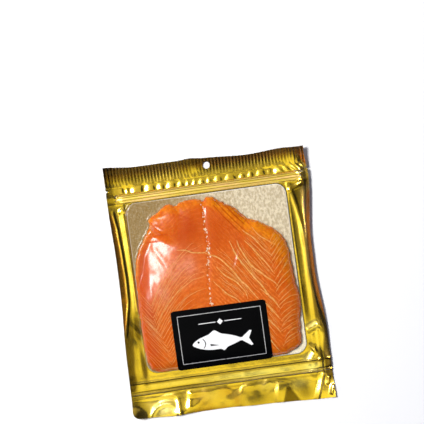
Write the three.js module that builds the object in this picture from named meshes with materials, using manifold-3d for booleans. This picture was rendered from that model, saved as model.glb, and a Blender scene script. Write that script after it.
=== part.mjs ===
// Pack of smoked salmon: sliced fish on a rounded board, vacuum-packed between a gold back film
// and a clear front film, with a press-to-close strip, a hang hole, tear notches and a label.
// Millimetres. The pack lies on its back: +X across, +Y towards the hang hole, +Z up.
import * as THREE from 'three';
import { mergeVertices } from 'three/addons/utils/BufferGeometryUtils.js';
import Module from 'manifold-3d';

const wasm = await Module();
wasm.setup();

// ---- Driving dimensions ----------------------------------------------------------------------

const GAP = 0.3; // left between pieces that touch
const FILM = 0.3; // both laminates, drawn thick enough to stand as solids

const POUCH = {
  width: 204,
  top: 125.2, // top edge above the middle
  bottom: -126.3, // bottom edge below the middle
  bottomSlope: -0.023, // the bottom edge is cut a little out of square
  centreX: -0.6,
  lean: 0.017, // sideways drift of the side edges for each millimetre up
  waistLeft: 3.2, // how far the vacuum pulls the side edges in
  waistRight: 5.6,
  cornerRadius: 8, // the one rounded corner, bottom left
};

const BOARD = { left: -84.7, right: 77.5, bottom: -81.8, top: 89.6, radius: 10.5, thickness: 1.2, bevel: 0.2 };
const LABEL = { left: -54.1, right: 40.8, bottom: -82, top: -23.3, radius: 2.8, thickness: 0.3, margin: 1 };
const HANG_HOLE = { x: 1.2, y: 117.5, diameter: 7.1 };
const NOTCH = { depth: 2.2, height: 2, leftY: 103.9, rightY: 101.5 };

const ZIP = {
  left: -92,
  right: 94,
  y: 94.7,
  width: 7.5,
  flange: 0.4,
  channelWidth: 1.8,
  wall: 0.6,
  wallHeight: 1.2,
  ribWidth: 1.2,
};
const zipHeight = 2 * ZIP.flange + ZIP.wallHeight + GAP;

// The fish rests on the board. Its outline runs clockwise from the notch between the two lobes.
const SALMON = {
  centre: [-10, -6],
  thickness: 8,
  rim: 2.6, // height of the steep edge of the slices
  lobeDrop: 0.6,
  grooveDepth: 0.9,
  ripple: 0.25,
  rings: [0.12, 0.28, 0.44, 0.58, 0.7, 0.8, 0.88, 0.935, 0.97, 0.99],
  outline: [
    [-6.6, 83.4], [-15, 85.3], [-29.5, 84], [-34.4, 81.4], [-42.8, 83.7], [-52.7, 77.9],
    [-63.7, 70], [-62.6, 67.2], [-70, 53.5], [-78.4, 39.6], [-83.4, 20], [-84.4, 4],
    [-84.2, -62], [-81.8, -74.5], [-74.5, -80.9], [-60, -81.2], [41, -80.6], [59.2, -78.8],
    [70.6, -72], [72.4, -60], [73.7, -46], [76.3, -30], [73.6, -7], [72.6, 10],
    [69.8, 31.5], [63, 42.2], [47.8, 53.4], [34.2, 60.2], [22.9, 71.7], [10, 80], [-0.6, 86.1],
  ],
};

// Crinkles pressed into both films: a line, how far it stands up and how broad it is.
const FOLDS = [
  { from: [-88.3, 78], to: [-88.6, -36], rise: 1, breadth: 3.4 }, // beside the board, left
  { from: [82, 78], to: [82.6, -42], rise: 1.1, breadth: 3.8 }, // beside the board, right
  { from: [79, -50], to: [85, -63], rise: 1.3, breadth: 3 }, // star of creases, right
  { from: [85, -48], to: [93, -60], rise: 1.4, breadth: 3 },
  { from: [-92, -56], to: [-91, -80], rise: 1.1, breadth: 4 }, // lower left frame
  { from: [-92, 82], to: [-84, 91], rise: 0.9, breadth: 3 }, // corners of the board, top
  { from: [88, 80], to: [78, 91], rise: 0.9, breadth: 3 },
  { from: [-59, -123], to: [-59, -108], rise: 1.7, breadth: 4 }, // loose flap below the seal
  { from: [-62, -106], to: [-92, -106], rise: 1.3, breadth: 4 },
  { from: [-54, -123], to: [-42, -115], rise: 1.1, breadth: 4 },
  { from: [44, -104], to: [41, -124], rise: 1.3, breadth: 4 },
  { from: [53, -108], to: [60, -126], rise: 1.2, breadth: 4 },
  { from: [88, -104], to: [77, -127], rise: 1.6, breadth: 4 },
];

// Places where the pouch stands off what it lies on.
const LIFTS = [
  { x: 104, y: 128, height: 5.5, reach: 28 }, // top right corner
  { x: -102, y: 128, height: 2.6, reach: 30 }, // top left corner
  { x: -15, y: 127, height: 1.8, reach: 12 }, // crease beside the hang hole
  { x: -106, y: -128, height: 7, reach: 12 }, // rounded corner, bottom left
  { x: 101, y: -130, height: 3, reach: 20 }, // bottom right corner
];

const SIDE_CURL = { left: 2.6, right: 3.8 }; // the side seals curl up
const HEADER_RISE = 1.6; // top edge over the press-to-close strip
const FLAP_RISE = 1.2; // bottom edge over the machine seal
const SEAL_BAND = { top: -89.6, bottom: -100.2, height: 0.7, shoulder: 3 };
const PUCKERS = { y: 103.2, reach: 3.2, pitch: 9.01, left: -82, right: 68, height: 0.9 };

// How the front film falls away from an edge that it is stretched over.
const TENT = { rings: [0, 2.5, 5, 7.5, 9.5], directions: 12, flat: 5, slope: 1.1 };

const TALL = 60; // cutters and rays start well clear of the pack

// ---- Small helpers ---------------------------------------------------------------------------

const lerp = (a, b, t) => a + (b - a) * t;

const smoothstep = (from, to, value) => {
  const t = THREE.MathUtils.clamp((value - from) / (to - from), 0, 1);
  return t * t * (3 - 2 * t);
};

const bell = (distance, reach) => Math.exp(-((distance / reach) ** 2));

const steps = (from, to, count) => Array.from({ length: count + 1 }, (_, i) => lerp(from, to, i / count));

/** Distance from a point to the line of a fold. */
function distanceToSegment(x, y, { from: [ax, ay], to: [bx, by] }) {
  const along = ((x - ax) * (bx - ax) + (y - ay) * (by - ay)) / ((bx - ax) ** 2 + (by - ay) ** 2);
  const t = THREE.MathUtils.clamp(along, 0, 1);
  return Math.hypot(x - lerp(ax, bx, t), y - lerp(ay, by, t));
}

function toManifold(geometry) {
  const bare = geometry.clone();
  bare.deleteAttribute('normal');
  bare.deleteAttribute('uv');
  const merged = mergeVertices(bare, 1e-4);
  return new wasm.Manifold(new wasm.Mesh({
    numProp: 3,
    vertProperties: Float32Array.from(merged.attributes.position.array),
    triVerts: Uint32Array.from(merged.index.array),
  }));
}

function toGeometry(manifold) {
  const mesh = manifold.getMesh();
  const geometry = new THREE.BufferGeometry();
  geometry.setAttribute('position', new THREE.BufferAttribute(Float32Array.from(mesh.vertProperties), 3));
  geometry.setIndex(Array.from(mesh.triVerts));
  geometry.computeVertexNormals();
  return geometry;
}

// ---- Outlines --------------------------------------------------------------------------------

const WAIST = { top: 90, full: 48, low: 2, bottom: -66 };

const waist = (y) => smoothstep(WAIST.top, WAIST.full, y) * smoothstep(WAIST.bottom, WAIST.low, y);

const leftEdge = (y) => POUCH.centreX - POUCH.width / 2 + POUCH.lean * y + POUCH.waistLeft * waist(y);

const rightEdge = (y) => POUCH.centreX + POUCH.width / 2 + POUCH.lean * y - POUCH.waistRight * waist(y);

const TOP_WAVES = [
  { x: -15, rise: 1.3, reach: 9 },
  { x: 32, rise: -2, reach: 26 },
  { x: 90, rise: 1.2, reach: 16 },
  { x: -100, rise: 0.9, reach: 14 },
];

const topEdge = (x) => TOP_WAVES.reduce((y, w) => y + w.rise * bell(x - w.x, w.reach), POUCH.top);

const bottomEdge = (x) => POUCH.bottom + POUCH.bottomSlope * x;

function roundedRectangle({ left, right, bottom, top, radius }) {
  const shape = new THREE.Shape();
  shape.absarc(right - radius, top - radius, radius, 0, Math.PI / 2);
  shape.absarc(left + radius, top - radius, radius, Math.PI / 2, Math.PI);
  shape.absarc(left + radius, bottom + radius, radius, Math.PI, 1.5 * Math.PI);
  shape.absarc(right - radius, bottom + radius, radius, 1.5 * Math.PI, 2 * Math.PI);
  return shape;
}

/** Whether a point lies within a rounded rectangle. */
function insideRectangle(x, y, { left, right, bottom, top, radius }) {
  const dx = Math.max(left + radius - x, x - (right - radius), 0);
  const dy = Math.max(bottom + radius - y, y - (top - radius), 0);
  return Math.hypot(dx, dy) <= radius;
}

// ---- Heights ---------------------------------------------------------------------------------

const boardBase = FILM + GAP;
const boardTop = boardBase + BOARD.thickness;
const salmonBase = boardTop + GAP;
const zipBase = FILM + GAP;

/** Height of the underside of the back film: flat under the board, lifted and creased around it. */
function backUnderside(x, y) {
  const nearZip = Math.abs(y - ZIP.y) < ZIP.width / 2 + 1;
  const row = nearZip ? ZIP.y : y; // the strip keeps its cross-section level
  const clear = smoothstep(0, 4, distanceToBoard(x, row));
  return clear * (lift(x, row) + (nearZip ? 0 : crinkle(x, y)));
}

function distanceToBoard(x, y) {
  const dx = Math.max(BOARD.left - x, x - BOARD.right, 0);
  const dy = Math.max(BOARD.bottom - y, y - BOARD.top, 0);
  return Math.hypot(dx, dy);
}

/** The slow rise of the side seals, the header, the flap and the corners. */
function lift(x, y) {
  const sideLeft = smoothstep(BOARD.left - 3, leftEdge(y), x) * SIDE_CURL.left;
  const sideRight = smoothstep(BOARD.right + 3, rightEdge(y), x) * SIDE_CURL.right;
  const header = smoothstep(ZIP.y + ZIP.width, POUCH.top, y) * HEADER_RISE;
  const flap = smoothstep(SEAL_BAND.bottom, POUCH.bottom, y) * FLAP_RISE;
  const spots = LIFTS.map((spot) => spot.height * bell(Math.hypot(x - spot.x, y - spot.y), spot.reach));
  return spots.reduce((sum, height) => sum + height, sideLeft + sideRight + header + flap);
}

/** Folds, the row of puckers and the shoulders of the machine seal. */
function crinkle(x, y) {
  const folds = FOLDS.map((fold) => fold.rise * bell(distanceToSegment(x, y, fold), fold.breadth));
  const inRow = smoothstep(PUCKERS.left - 4, PUCKERS.left, x) * smoothstep(PUCKERS.right + 4, PUCKERS.right, x);
  const wave = 0.5 + 0.5 * Math.cos((2 * Math.PI * (x - BOARD.left)) / PUCKERS.pitch);
  const pucker = PUCKERS.height * wave * inRow * bell(y - PUCKERS.y, PUCKERS.reach);
  const { top, bottom, shoulder } = SEAL_BAND;
  const seal = SEAL_BAND.height * (bell(y - top, shoulder) + bell(y - bottom, shoulder));
  return folds.reduce((sum, height) => sum + height, pucker + seal);
}

/** The fish is laid out as rays from its centre, the first one towards the hang hole. */
const RAYS = 96;
const rayAngle = (index) => Math.PI / 2 + (2 * Math.PI * index) / RAYS;

/** How far each ray runs before it meets the outline of the fish. */
const salmonReach = (() => {
  const [cx, cy] = SALMON.centre;
  const points = SALMON.outline.map(([x, y]) => new THREE.Vector3(x - cx, y - cy, 0));
  const rim = new THREE.CatmullRomCurve3(points, true, 'centripetal').getPoints(RAYS * 10);
  return Array.from({ length: RAYS }, (_, i) => {
    const ray = new THREE.Vector3(Math.cos(rayAngle(i)), Math.sin(rayAngle(i)), 0);
    return rim.reduce((best, p) => (p.angleTo(ray) < best.angleTo(ray) ? p : best)).length();
  });
})();

/** How far out a point lies, from 0 at the centre of the fish to 1 at its edge. */
function salmonShare(x, y) {
  const dx = x - SALMON.centre[0];
  const dy = y - SALMON.centre[1];
  const turns = (Math.atan2(dy, dx) - Math.PI / 2) / (2 * Math.PI);
  const ray = THREE.MathUtils.euclideanModulo(turns * RAYS, RAYS);
  const index = Math.floor(ray) % RAYS;
  return Math.hypot(dx, dy) / lerp(salmonReach[index], salmonReach[(index + 1) % RAYS], ray % 1);
}

/** Height of the top of the fish: a low dome, thinner at the lobes, with a groove along the middle. */
function salmonTop(x, y, share) {
  const dome = (1 - share ** 6) ** 0.7;
  const lobes = SALMON.lobeDrop * smoothstep(20, 80, y);
  const groove = SALMON.grooveDepth * bell(x - SALMON.centre[0], 4) * smoothstep(-40, 10, y);
  const ripple = SALMON.ripple * Math.sin(0.16 * x + 0.09 * y) * Math.sin(0.11 * y - 0.05 * x);
  const full = SALMON.thickness - SALMON.rim - lobes - groove + ripple;
  return salmonBase + SALMON.rim + full * dome;
}

/** Height of whatever lies under the front film, or nought where nothing does. */
function contentTop(x, y) {
  const share = salmonShare(x, y);
  if (share < 1) {
    return salmonTop(x, y, share);
  }
  if (insideRectangle(x, y, BOARD)) {
    return boardTop;
  }
  const inZip = x > ZIP.left && x < ZIP.right && Math.abs(y - ZIP.y) < ZIP.width / 2;
  return inZip ? backUnderside(x, ZIP.y) + zipBase + zipHeight : 0;
}

/** Height of the underside of the front film: drawn down over the contents like a taut tent. */
function frontUnderside(x, y) {
  const resting = backUnderside(x, y) + FILM + GAP;
  const around = TENT.rings.flatMap((radius) => steps(0, 2 * Math.PI, TENT.directions).map((angle) => {
    const under = contentTop(x + radius * Math.cos(angle), y + radius * Math.sin(angle));
    return under + GAP - TENT.slope * Math.max(radius - TENT.flat, 0);
  }));
  return Math.max(resting, ...around);
}

// ---- Films -----------------------------------------------------------------------------------

const SIDE_SHARES = [1, 0.78, 0.55, 0.34, 0.14]; // of the way from the board to the side edge
const FLAP_ROWS = [POUCH.bottom, -121, -115.5, -110.5, -106, -102.8];
const SEAL_ROWS = [-100.2, -97, -93, -89.6, -86];
const BOARD_ROWS = [-83.4, -80.4, -75, -66, -54, -42, -28, -14, 0, 14, 28, 42, 54, 66, 76, 83, 87.5];
const ZIP_ROWS = [90, 94.7, 99.4];
const HEADER_ROWS = [101, 103.2, 105.8, 109.5, 114.5, 120, POUCH.top];

/** Points of one row of the pouch in plan, with a number of cells between the board's sides. */
function rowPoints(row, cells) {
  const left = SIDE_SHARES.map((share) => lerp(BOARD.left, leftEdge(row), share));
  const right = SIDE_SHARES.map((share) => lerp(BOARD.right, rightEdge(row), share)).reverse();
  const header = smoothstep(ZIP.y + ZIP.width, POUCH.top, row);
  const flap = smoothstep(SEAL_BAND.bottom, POUCH.bottom, row);
  return [...left, ...steps(BOARD.left, BOARD.right, cells), ...right].map(
    (x) => [x, row + header * (topEdge(x) - POUCH.top) + flap * (bottomEdge(x) - POUCH.bottom)],
  );
}

/** The pouch in plan from the bottom up, finer in the loose flap and in the header. */
const pouchPlan = (boardCells) => [
  ...FLAP_ROWS.map((row) => rowPoints(row, 28)),
  ...SEAL_ROWS.map((row) => rowPoints(row, 14)),
  ...BOARD_ROWS.map((row) => rowPoints(row, boardCells)),
  ...ZIP_ROWS.map((row) => rowPoints(row, 14)),
  ...HEADER_ROWS.map((row) => rowPoints(row, 36)),
];

/** A closed sheet over rows of plan points, from its underside's height up by a thickness. */
function sheet(plan, underside, thickness) {
  const points = plan.flat().map(([x, y]) => [x, y, underside(x, y)]);
  const upper = points.length;
  let first = 0;
  const lines = plan.map((row) => row.map(() => {
    first += 1;
    return first - 1;
  }));
  const faces = [];
  for (let j = 0; j < lines.length - 1; j += 1) {
    for (const [a, b, c] of stitch(lines[j], lines[j + 1], points)) {
      faces.push(a + upper, b + upper, c + upper, a, c, b);
    }
  }
  const sides = lines.slice(1, -1);
  const rim = [
    ...lines[0],
    ...sides.map((line) => line.at(-1)),
    ...lines.at(-1).toReversed(),
    ...sides.map((line) => line[0]).toReversed(),
  ];
  rim.forEach((a, k) => {
    const b = rim[(k + 1) % rim.length];
    faces.push(a, b, b + upper, a, b + upper, a + upper);
  });
  return indexedGeometry([...points, ...points.map(([x, y, z]) => [x, y, z + thickness])], faces);
}

/** Triangles between two rows of points, which may hold different numbers of them. */
function stitch(lower, upper, points) {
  const triangles = [];
  let i = 0;
  let j = 0;
  while (i < lower.length - 1 || j < upper.length - 1) {
    const nextLower = i < lower.length - 1 ? points[lower[i + 1]][0] : Infinity;
    const nextUpper = j < upper.length - 1 ? points[upper[j + 1]][0] : Infinity;
    if (nextLower <= nextUpper) {
      triangles.push([lower[i], lower[i + 1], upper[j]]);
      i += 1;
    } else {
      triangles.push([lower[i], upper[j + 1], upper[j]]);
      j += 1;
    }
  }
  return triangles;
}

function indexedGeometry(vertices, faces) {
  const geometry = new THREE.BufferGeometry();
  geometry.setAttribute('position', new THREE.Float32BufferAttribute(vertices.flat(), 3));
  geometry.setIndex(faces);
  return geometry;
}

/** Cuts the hang hole, the tear notches and the rounded corner through a film. */
function trimFilm(geometry) {
  const hole = new THREE.CylinderGeometry(HANG_HOLE.diameter / 2, HANG_HOLE.diameter / 2, TALL, 24);
  hole.rotateX(Math.PI / 2);
  hole.translate(HANG_HOLE.x, HANG_HOLE.y, 0);
  const cutters = [
    hole,
    notchCutter(leftEdge(NOTCH.leftY), NOTCH.leftY, 1),
    notchCutter(rightEdge(NOTCH.rightY), NOTCH.rightY, -1),
    cornerCutter(),
  ];
  return toGeometry(cutters.reduce((film, cutter) => film.subtract(toManifold(cutter)), toManifold(geometry)));
}

/** A wedge that points into the film from one side edge. */
function notchCutter(edgeX, y, inward) {
  const shape = new THREE.Shape();
  shape.moveTo(edgeX - inward * NOTCH.depth, y - NOTCH.height);
  shape.lineTo(edgeX + inward * NOTCH.depth, y);
  shape.lineTo(edgeX - inward * NOTCH.depth, y + NOTCH.height);
  shape.closePath();
  return prism(shape);
}

/** The outside of the rounded bottom left corner. */
function cornerCutter() {
  const radius = POUCH.cornerRadius;
  const x = leftEdge(POUCH.bottom);
  const y = bottomEdge(x);
  const shape = new THREE.Shape();
  shape.moveTo(x - radius, y - radius);
  shape.lineTo(x + radius, y - radius);
  shape.lineTo(x + radius, y);
  shape.absarc(x + radius, y + radius, radius, 1.5 * Math.PI, Math.PI, true);
  shape.lineTo(x - radius, y + radius);
  shape.closePath();
  return prism(shape);
}

/** An outline in plan, drawn up and down far enough to cut through any sheet. */
function prism(shape) {
  const options = { depth: TALL, bevelEnabled: false, curveSegments: 6 };
  return new THREE.ExtrudeGeometry(shape, options).translate(0, 0, -TALL / 2);
}

// ---- Contents and fittings -------------------------------------------------------------------

function board() {
  const { left, right, bottom, top, radius, thickness, bevel } = BOARD;
  const face = {
    left: left + bevel,
    right: right - bevel,
    bottom: bottom + bevel,
    top: top - bevel,
    radius: radius - bevel,
  };
  const geometry = new THREE.ExtrudeGeometry(roundedRectangle(face), {
    depth: thickness - 2 * bevel,
    bevelThickness: bevel,
    bevelSize: bevel,
    bevelSegments: 1,
    curveSegments: 6,
  });
  return geometry.translate(0, 0, boardBase + bevel);
}

/** The fish as rings around its centre, from the top middle out over the rim to the base. */
function salmon() {
  const [cx, cy] = SALMON.centre;
  const ring = (share, height) => salmonReach.map((reach, i) => {
    const x = cx + reach * share * Math.cos(rayAngle(i));
    const y = cy + reach * share * Math.sin(rayAngle(i));
    return [x, y, height(x, y)];
  });
  const rings = SALMON.rings.map((share) => ring(share, (x, y) => salmonTop(x, y, share)));
  rings.push(ring(1, () => salmonBase + SALMON.rim / 2), ring(0.99, () => salmonBase));
  const vertices = [[cx, cy, salmonTop(cx, cy, 0)], ...rings.flat(), [cx, cy, salmonBase]];
  const faces = [];
  for (let i = 0; i < RAYS; i += 1) {
    const next = (i + 1) % RAYS;
    faces.push(0, 1 + i, 1 + next);
    for (let k = 0; k < rings.length - 1; k += 1) {
      const inner = 1 + k * RAYS;
      const outer = inner + RAYS;
      faces.push(inner + i, outer + i, outer + next, inner + i, outer + next, inner + next);
    }
    const base = 1 + (rings.length - 1) * RAYS;
    faces.push(base + i, vertices.length - 1, base + next);
  }
  return indexedGeometry(vertices, faces);
}

/** The label: a thin sheet over the front film, trimmed to its rounded outline. */
function label(filmGeometry) {
  const { left, right, bottom, top, margin, thickness } = LABEL;
  const filmTop = heightOver(filmGeometry);
  const columns = steps(left - margin, right + margin, 9);
  const plan = steps(bottom - margin, top + margin, 7).map((y) => columns.map((x) => [x, y]));
  const reach = [-3, 0, 3];
  const underside = (x, y) => GAP + Math.max(...reach.flatMap((dx) => reach.map((dy) => filmTop(x + dx, y + dy))));
  const blank = toManifold(sheet(plan, underside, thickness));
  return toGeometry(blank.intersect(toManifold(prism(roundedRectangle(LABEL)))));
}

/** Gives the height of a geometry's upper surface at a point in plan. */
function heightOver(geometry) {
  const target = new THREE.Mesh(geometry, new THREE.MeshBasicMaterial());
  const down = new THREE.Vector3(0, 0, -1);
  return (x, y) => {
    const ray = new THREE.Raycaster(new THREE.Vector3(x, y, TALL), down);
    return ray.intersectObject(target)[0].point.z;
  };
}

/** A strip of one cross-section that follows the pouch along the press-to-close line. */
function zipStrip(section) {
  const stations = steps(ZIP.left, ZIP.right, 14);
  const count = section.length;
  const vertices = stations.flatMap((x) => section.map(
    ([across, up]) => [x, ZIP.y + across, backUnderside(x, ZIP.y) + zipBase + up],
  ));
  const faces = [];
  for (let k = 0; k < stations.length - 1; k += 1) {
    for (let i = 0; i < count; i += 1) {
      const [a, b] = [k * count + i, k * count + ((i + 1) % count)];
      faces.push(a, b, a + count, b, b + count, a + count);
    }
  }
  const end = (stations.length - 1) * count;
  const contour = section.map(([across, up]) => new THREE.Vector2(across, up));
  for (const [a, b, c] of THREE.ShapeUtils.triangulateShape(contour, [])) {
    faces.push(a, c, b, end + a, end + b, end + c);
  }
  return indexedGeometry(vertices, faces);
}

/** The lower strip: a flange with two walls that make a channel. */
function zipChannel() {
  const half = ZIP.width / 2;
  const inner = ZIP.channelWidth / 2;
  const outer = inner + ZIP.wall;
  const top = ZIP.flange + ZIP.wallHeight;
  return zipStrip([
    [-half, 0], [half, 0], [half, ZIP.flange], [outer, ZIP.flange], [outer, top], [inner, top],
    [inner, ZIP.flange], [-inner, ZIP.flange], [-inner, top], [-outer, top], [-outer, ZIP.flange],
    [-half, ZIP.flange],
  ]);
}

/** The upper strip: a flange with the rib that presses into the channel. */
function zipRib() {
  const half = ZIP.width / 2;
  const rib = ZIP.ribWidth / 2;
  const flangeBase = zipHeight - ZIP.flange;
  const ribBase = ZIP.flange + GAP;
  return zipStrip([
    [-half, flangeBase], [-rib, flangeBase], [-rib, ribBase], [rib, ribBase], [rib, flangeBase],
    [half, flangeBase], [half, zipHeight], [-half, zipHeight],
  ]);
}

// ---- Assembly --------------------------------------------------------------------------------

const finish = (color, roughness, metalness) => new THREE.MeshStandardMaterial({ color, roughness, metalness });

const goldFilm = finish(0xc99b26, 0.25, 0.95);
const clearFilm = finish(0xf2efe6, 0.1, 0);
clearFilm.transparent = true;
clearFilm.opacity = 0.25;
const satinBoard = finish(0xdac3a4, 0.5, 0.3);
const fish = finish(0xd9733a, 0.4, 0);
const zipPlastic = finish(0xe9dcae, 0.35, 0);
const darkLabel = finish(0x08080c, 0.4, 0);

const frontFilm = trimFilm(sheet(pouchPlan(16), frontUnderside, FILM));

const pieces = [
  ['back_film', trimFilm(sheet(pouchPlan(1), backUnderside, FILM)), goldFilm],
  ['board', board(), satinBoard],
  ['salmon', salmon(), fish],
  ['zip_channel', zipChannel(), zipPlastic],
  ['zip_rib', zipRib(), zipPlastic],
  ['front_film', frontFilm, clearFilm],
  ['label', label(frontFilm), darkLabel],
];

const pack = new THREE.Group();
for (const [name, geometry, material] of pieces) {
  const mesh = new THREE.Mesh(geometry, material);
  mesh.name = name;
  pack.add(mesh);
}

// The origin is the middle of the pack's footprint, on the surface it lies on.
const box = new THREE.Box3().setFromObject(pack);
const middle = box.getCenter(new THREE.Vector3());
pack.position.set(-middle.x, -middle.y, -box.min.z);

export default pack;
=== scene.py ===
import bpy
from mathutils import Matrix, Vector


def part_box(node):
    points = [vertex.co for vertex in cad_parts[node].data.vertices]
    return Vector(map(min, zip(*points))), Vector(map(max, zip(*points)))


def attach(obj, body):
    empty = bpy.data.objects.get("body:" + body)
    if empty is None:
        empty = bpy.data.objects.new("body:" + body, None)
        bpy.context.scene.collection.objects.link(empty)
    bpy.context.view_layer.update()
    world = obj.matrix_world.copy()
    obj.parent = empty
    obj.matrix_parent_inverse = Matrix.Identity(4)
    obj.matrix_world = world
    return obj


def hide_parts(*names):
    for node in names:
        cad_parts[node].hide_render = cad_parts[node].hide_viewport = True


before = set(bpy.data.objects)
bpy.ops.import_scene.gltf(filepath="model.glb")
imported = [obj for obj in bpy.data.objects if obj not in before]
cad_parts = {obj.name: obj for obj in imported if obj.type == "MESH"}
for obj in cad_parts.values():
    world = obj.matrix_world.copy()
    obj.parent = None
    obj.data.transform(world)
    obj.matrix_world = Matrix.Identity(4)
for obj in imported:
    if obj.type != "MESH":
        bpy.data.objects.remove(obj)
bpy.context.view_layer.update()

import logging
import math
from collections.abc import Sequence
from dataclasses import dataclass, field
from enum import Enum

import bmesh
import bpy
import numpy as np
from mathutils import Matrix, Vector

LOG = logging.getLogger("salmon_pack")
MM = 0.001
Point = tuple[float, float]
Colour = tuple[float, float, float, float]
Values = np.ndarray
Piece = bpy.types.Object
Socket = bpy.types.NodeSocket


# ---- Small helpers --------------------


def ramp(start: float, end: float, value: Values) -> Values:
    """A soft ramp from 0 at start to 1 at end."""
    t = unit((value - start) / (end - start))
    return t * t * (3 - 2 * t)


def unit(value: Values) -> Values:
    """The value held between 0 and 1."""
    return np.clip(value, 0.0, 1.0)


def window(start: float, full: float, fall: float, end: float, value: Values) -> Values:
    """A soft ramp from 0 at start to 1 at full, and down again from fall to end."""
    return ramp(start, full, value) * ramp(end, fall, value)


def bell(distance: Values, reach: float) -> Values:
    """A round bump of height 1 that fades over its reach."""
    return np.exp(-((distance / reach) ** 2))


def lerp(start: Values, end: Values, share: Values) -> Values:
    """The value a share of the way from start to end."""
    return start + (end - start) * share


def noise(x: Values, y: Values, cell: float, seed: int) -> Values:
    """Smooth random waves between -1 and 1 over the plan.

    Args:
        x: Places across.
        y: Places along.
        cell: Distance between the random values.
        seed: Fixes the random values.

    Returns:
        One value for each position.
    """
    size = 64
    lattice = np.random.default_rng(seed).uniform(-1, 1, (size, size))
    u, v = x / cell, y / cell
    i, j = np.floor(u).astype(int), np.floor(v).astype(int)
    fu, fv = ramp(0, 1, u - i), ramp(0, 1, v - j)
    low = lerp(lattice[i % size, j % size], lattice[(i + 1) % size, j % size], fu)
    high = lerp(lattice[i % size, (j + 1) % size], lattice[(i + 1) % size, (j + 1) % size], fu)
    return lerp(low, high, fv)


def along_and_off(x: Values, y: Values, start: Point, end: Point) -> tuple[Values, Values]:
    """Where points lie beside a line.

    Args:
        x: Places across.
        y: Places along.
        start: The line's start.
        end: The line's end.

    Returns:
        How far along the line each point lies, from 0 to 1, and its distance from the line.
    """
    dx, dy = end[0] - start[0], end[1] - start[1]
    share = unit(((x - start[0]) * dx + (y - start[1]) * dy) / (dx * dx + dy * dy))
    return share, np.hypot(x - start[0] - share * dx, y - start[1] - share * dy)


def closed_curve(points: Sequence[Point], steps: int) -> Values:
    """A smooth closed curve through points, of the centripetal kind.

    Args:
        points: The points that the curve passes through.
        steps: Points made for each stretch.

    Returns:
        The curve's points, one row each.
    """
    knots = np.array(points, dtype=float)
    result = []
    for index in range(len(knots)):
        p0, p1, p2, p3 = (knots[(index + shift) % len(knots)] for shift in (-1, 0, 1, 2))
        d0, d1, d2 = (max(np.linalg.norm(b - a), 1e-6) ** 0.5 for a, b in ((p0, p1), (p1, p2), (p2, p3)))
        tangent1 = ((p1 - p0) / d0 - (p2 - p0) / (d0 + d1) + (p2 - p1) / d1) * d1
        tangent2 = ((p2 - p1) / d1 - (p3 - p1) / (d1 + d2) + (p3 - p2) / d2) * d1
        for t in np.arange(steps) / steps:
            cubic = 2 * p1 - 2 * p2 + tangent1 + tangent2
            square = -3 * p1 + 3 * p2 - 2 * tangent1 - tangent2
            result.append(p1 + tangent1 * t + square * t * t + cubic * t**3)
    return np.array(result)


# ---- Sizes, in millimetres of the plan --------------------


class Crest(Enum):
    """How the top of a fold runs."""

    ROUND = "round"
    SHARP = "sharp"
    LEANING = "leaning"


@dataclass(frozen=True)
class Fold:
    """A crinkle of the film: a line, how far it stands up and how broad it is."""

    start: Point
    end: Point
    rise: float
    breadth: float
    crest: Crest = Crest.ROUND

    def height(self, x: Values, y: Values) -> Values:
        """How far the fold lifts the film.

        Args:
            x: Places across.
            y: Places along.

        Returns:
            The lift at each point.
        """
        share, off = along_and_off(x, y, self.start, self.end)
        if self.crest is Crest.ROUND:
            return self.rise * bell(off, self.breadth)
        taper = np.sqrt(unit(4 * share * (1 - share)))
        if self.crest is Crest.LEANING:
            run = (self.end[0] - self.start[0], self.end[1] - self.start[1])
            side = run[0] * (y - self.start[1]) - run[1] * (x - self.start[0])
            reach = self.breadth * (0.3 + 0.7 * ramp(-0.2, 0.2, side / math.hypot(*run)))
            return self.rise * taper**0.5 * unit(1.06 - np.hypot(off, 0.3) / reach)
        tent = unit(1 - np.sqrt(off**2 + 0.04) / self.breadth)
        return self.rise * taper * tent


@dataclass(frozen=True)
class Ridge:
    """A long ridge of the film that runs along the pouch through a few points."""

    points: tuple[Point, ...]
    rise: float
    breadth: float
    fade: float = 4.0

    def place(self, y: Values) -> Values:
        """Place across of the crest."""
        ends = sorted(self.points, key=lambda point: point[1])
        return np.interp(y, [point[1] for point in ends], [point[0] for point in ends])

    def height(self, x: Values, y: Values) -> Values:
        """How far the ridge lifts the film.

        Args:
            x: Places across.
            y: Places along.

        Returns:
            The lift at each point.
        """
        low, high = sorted((self.points[0][1], self.points[-1][1]))
        held = window(low - self.fade, low + self.fade, high - self.fade, high + self.fade, y)
        return self.rise * held * bell(x - self.place(y), self.breadth)


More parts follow.
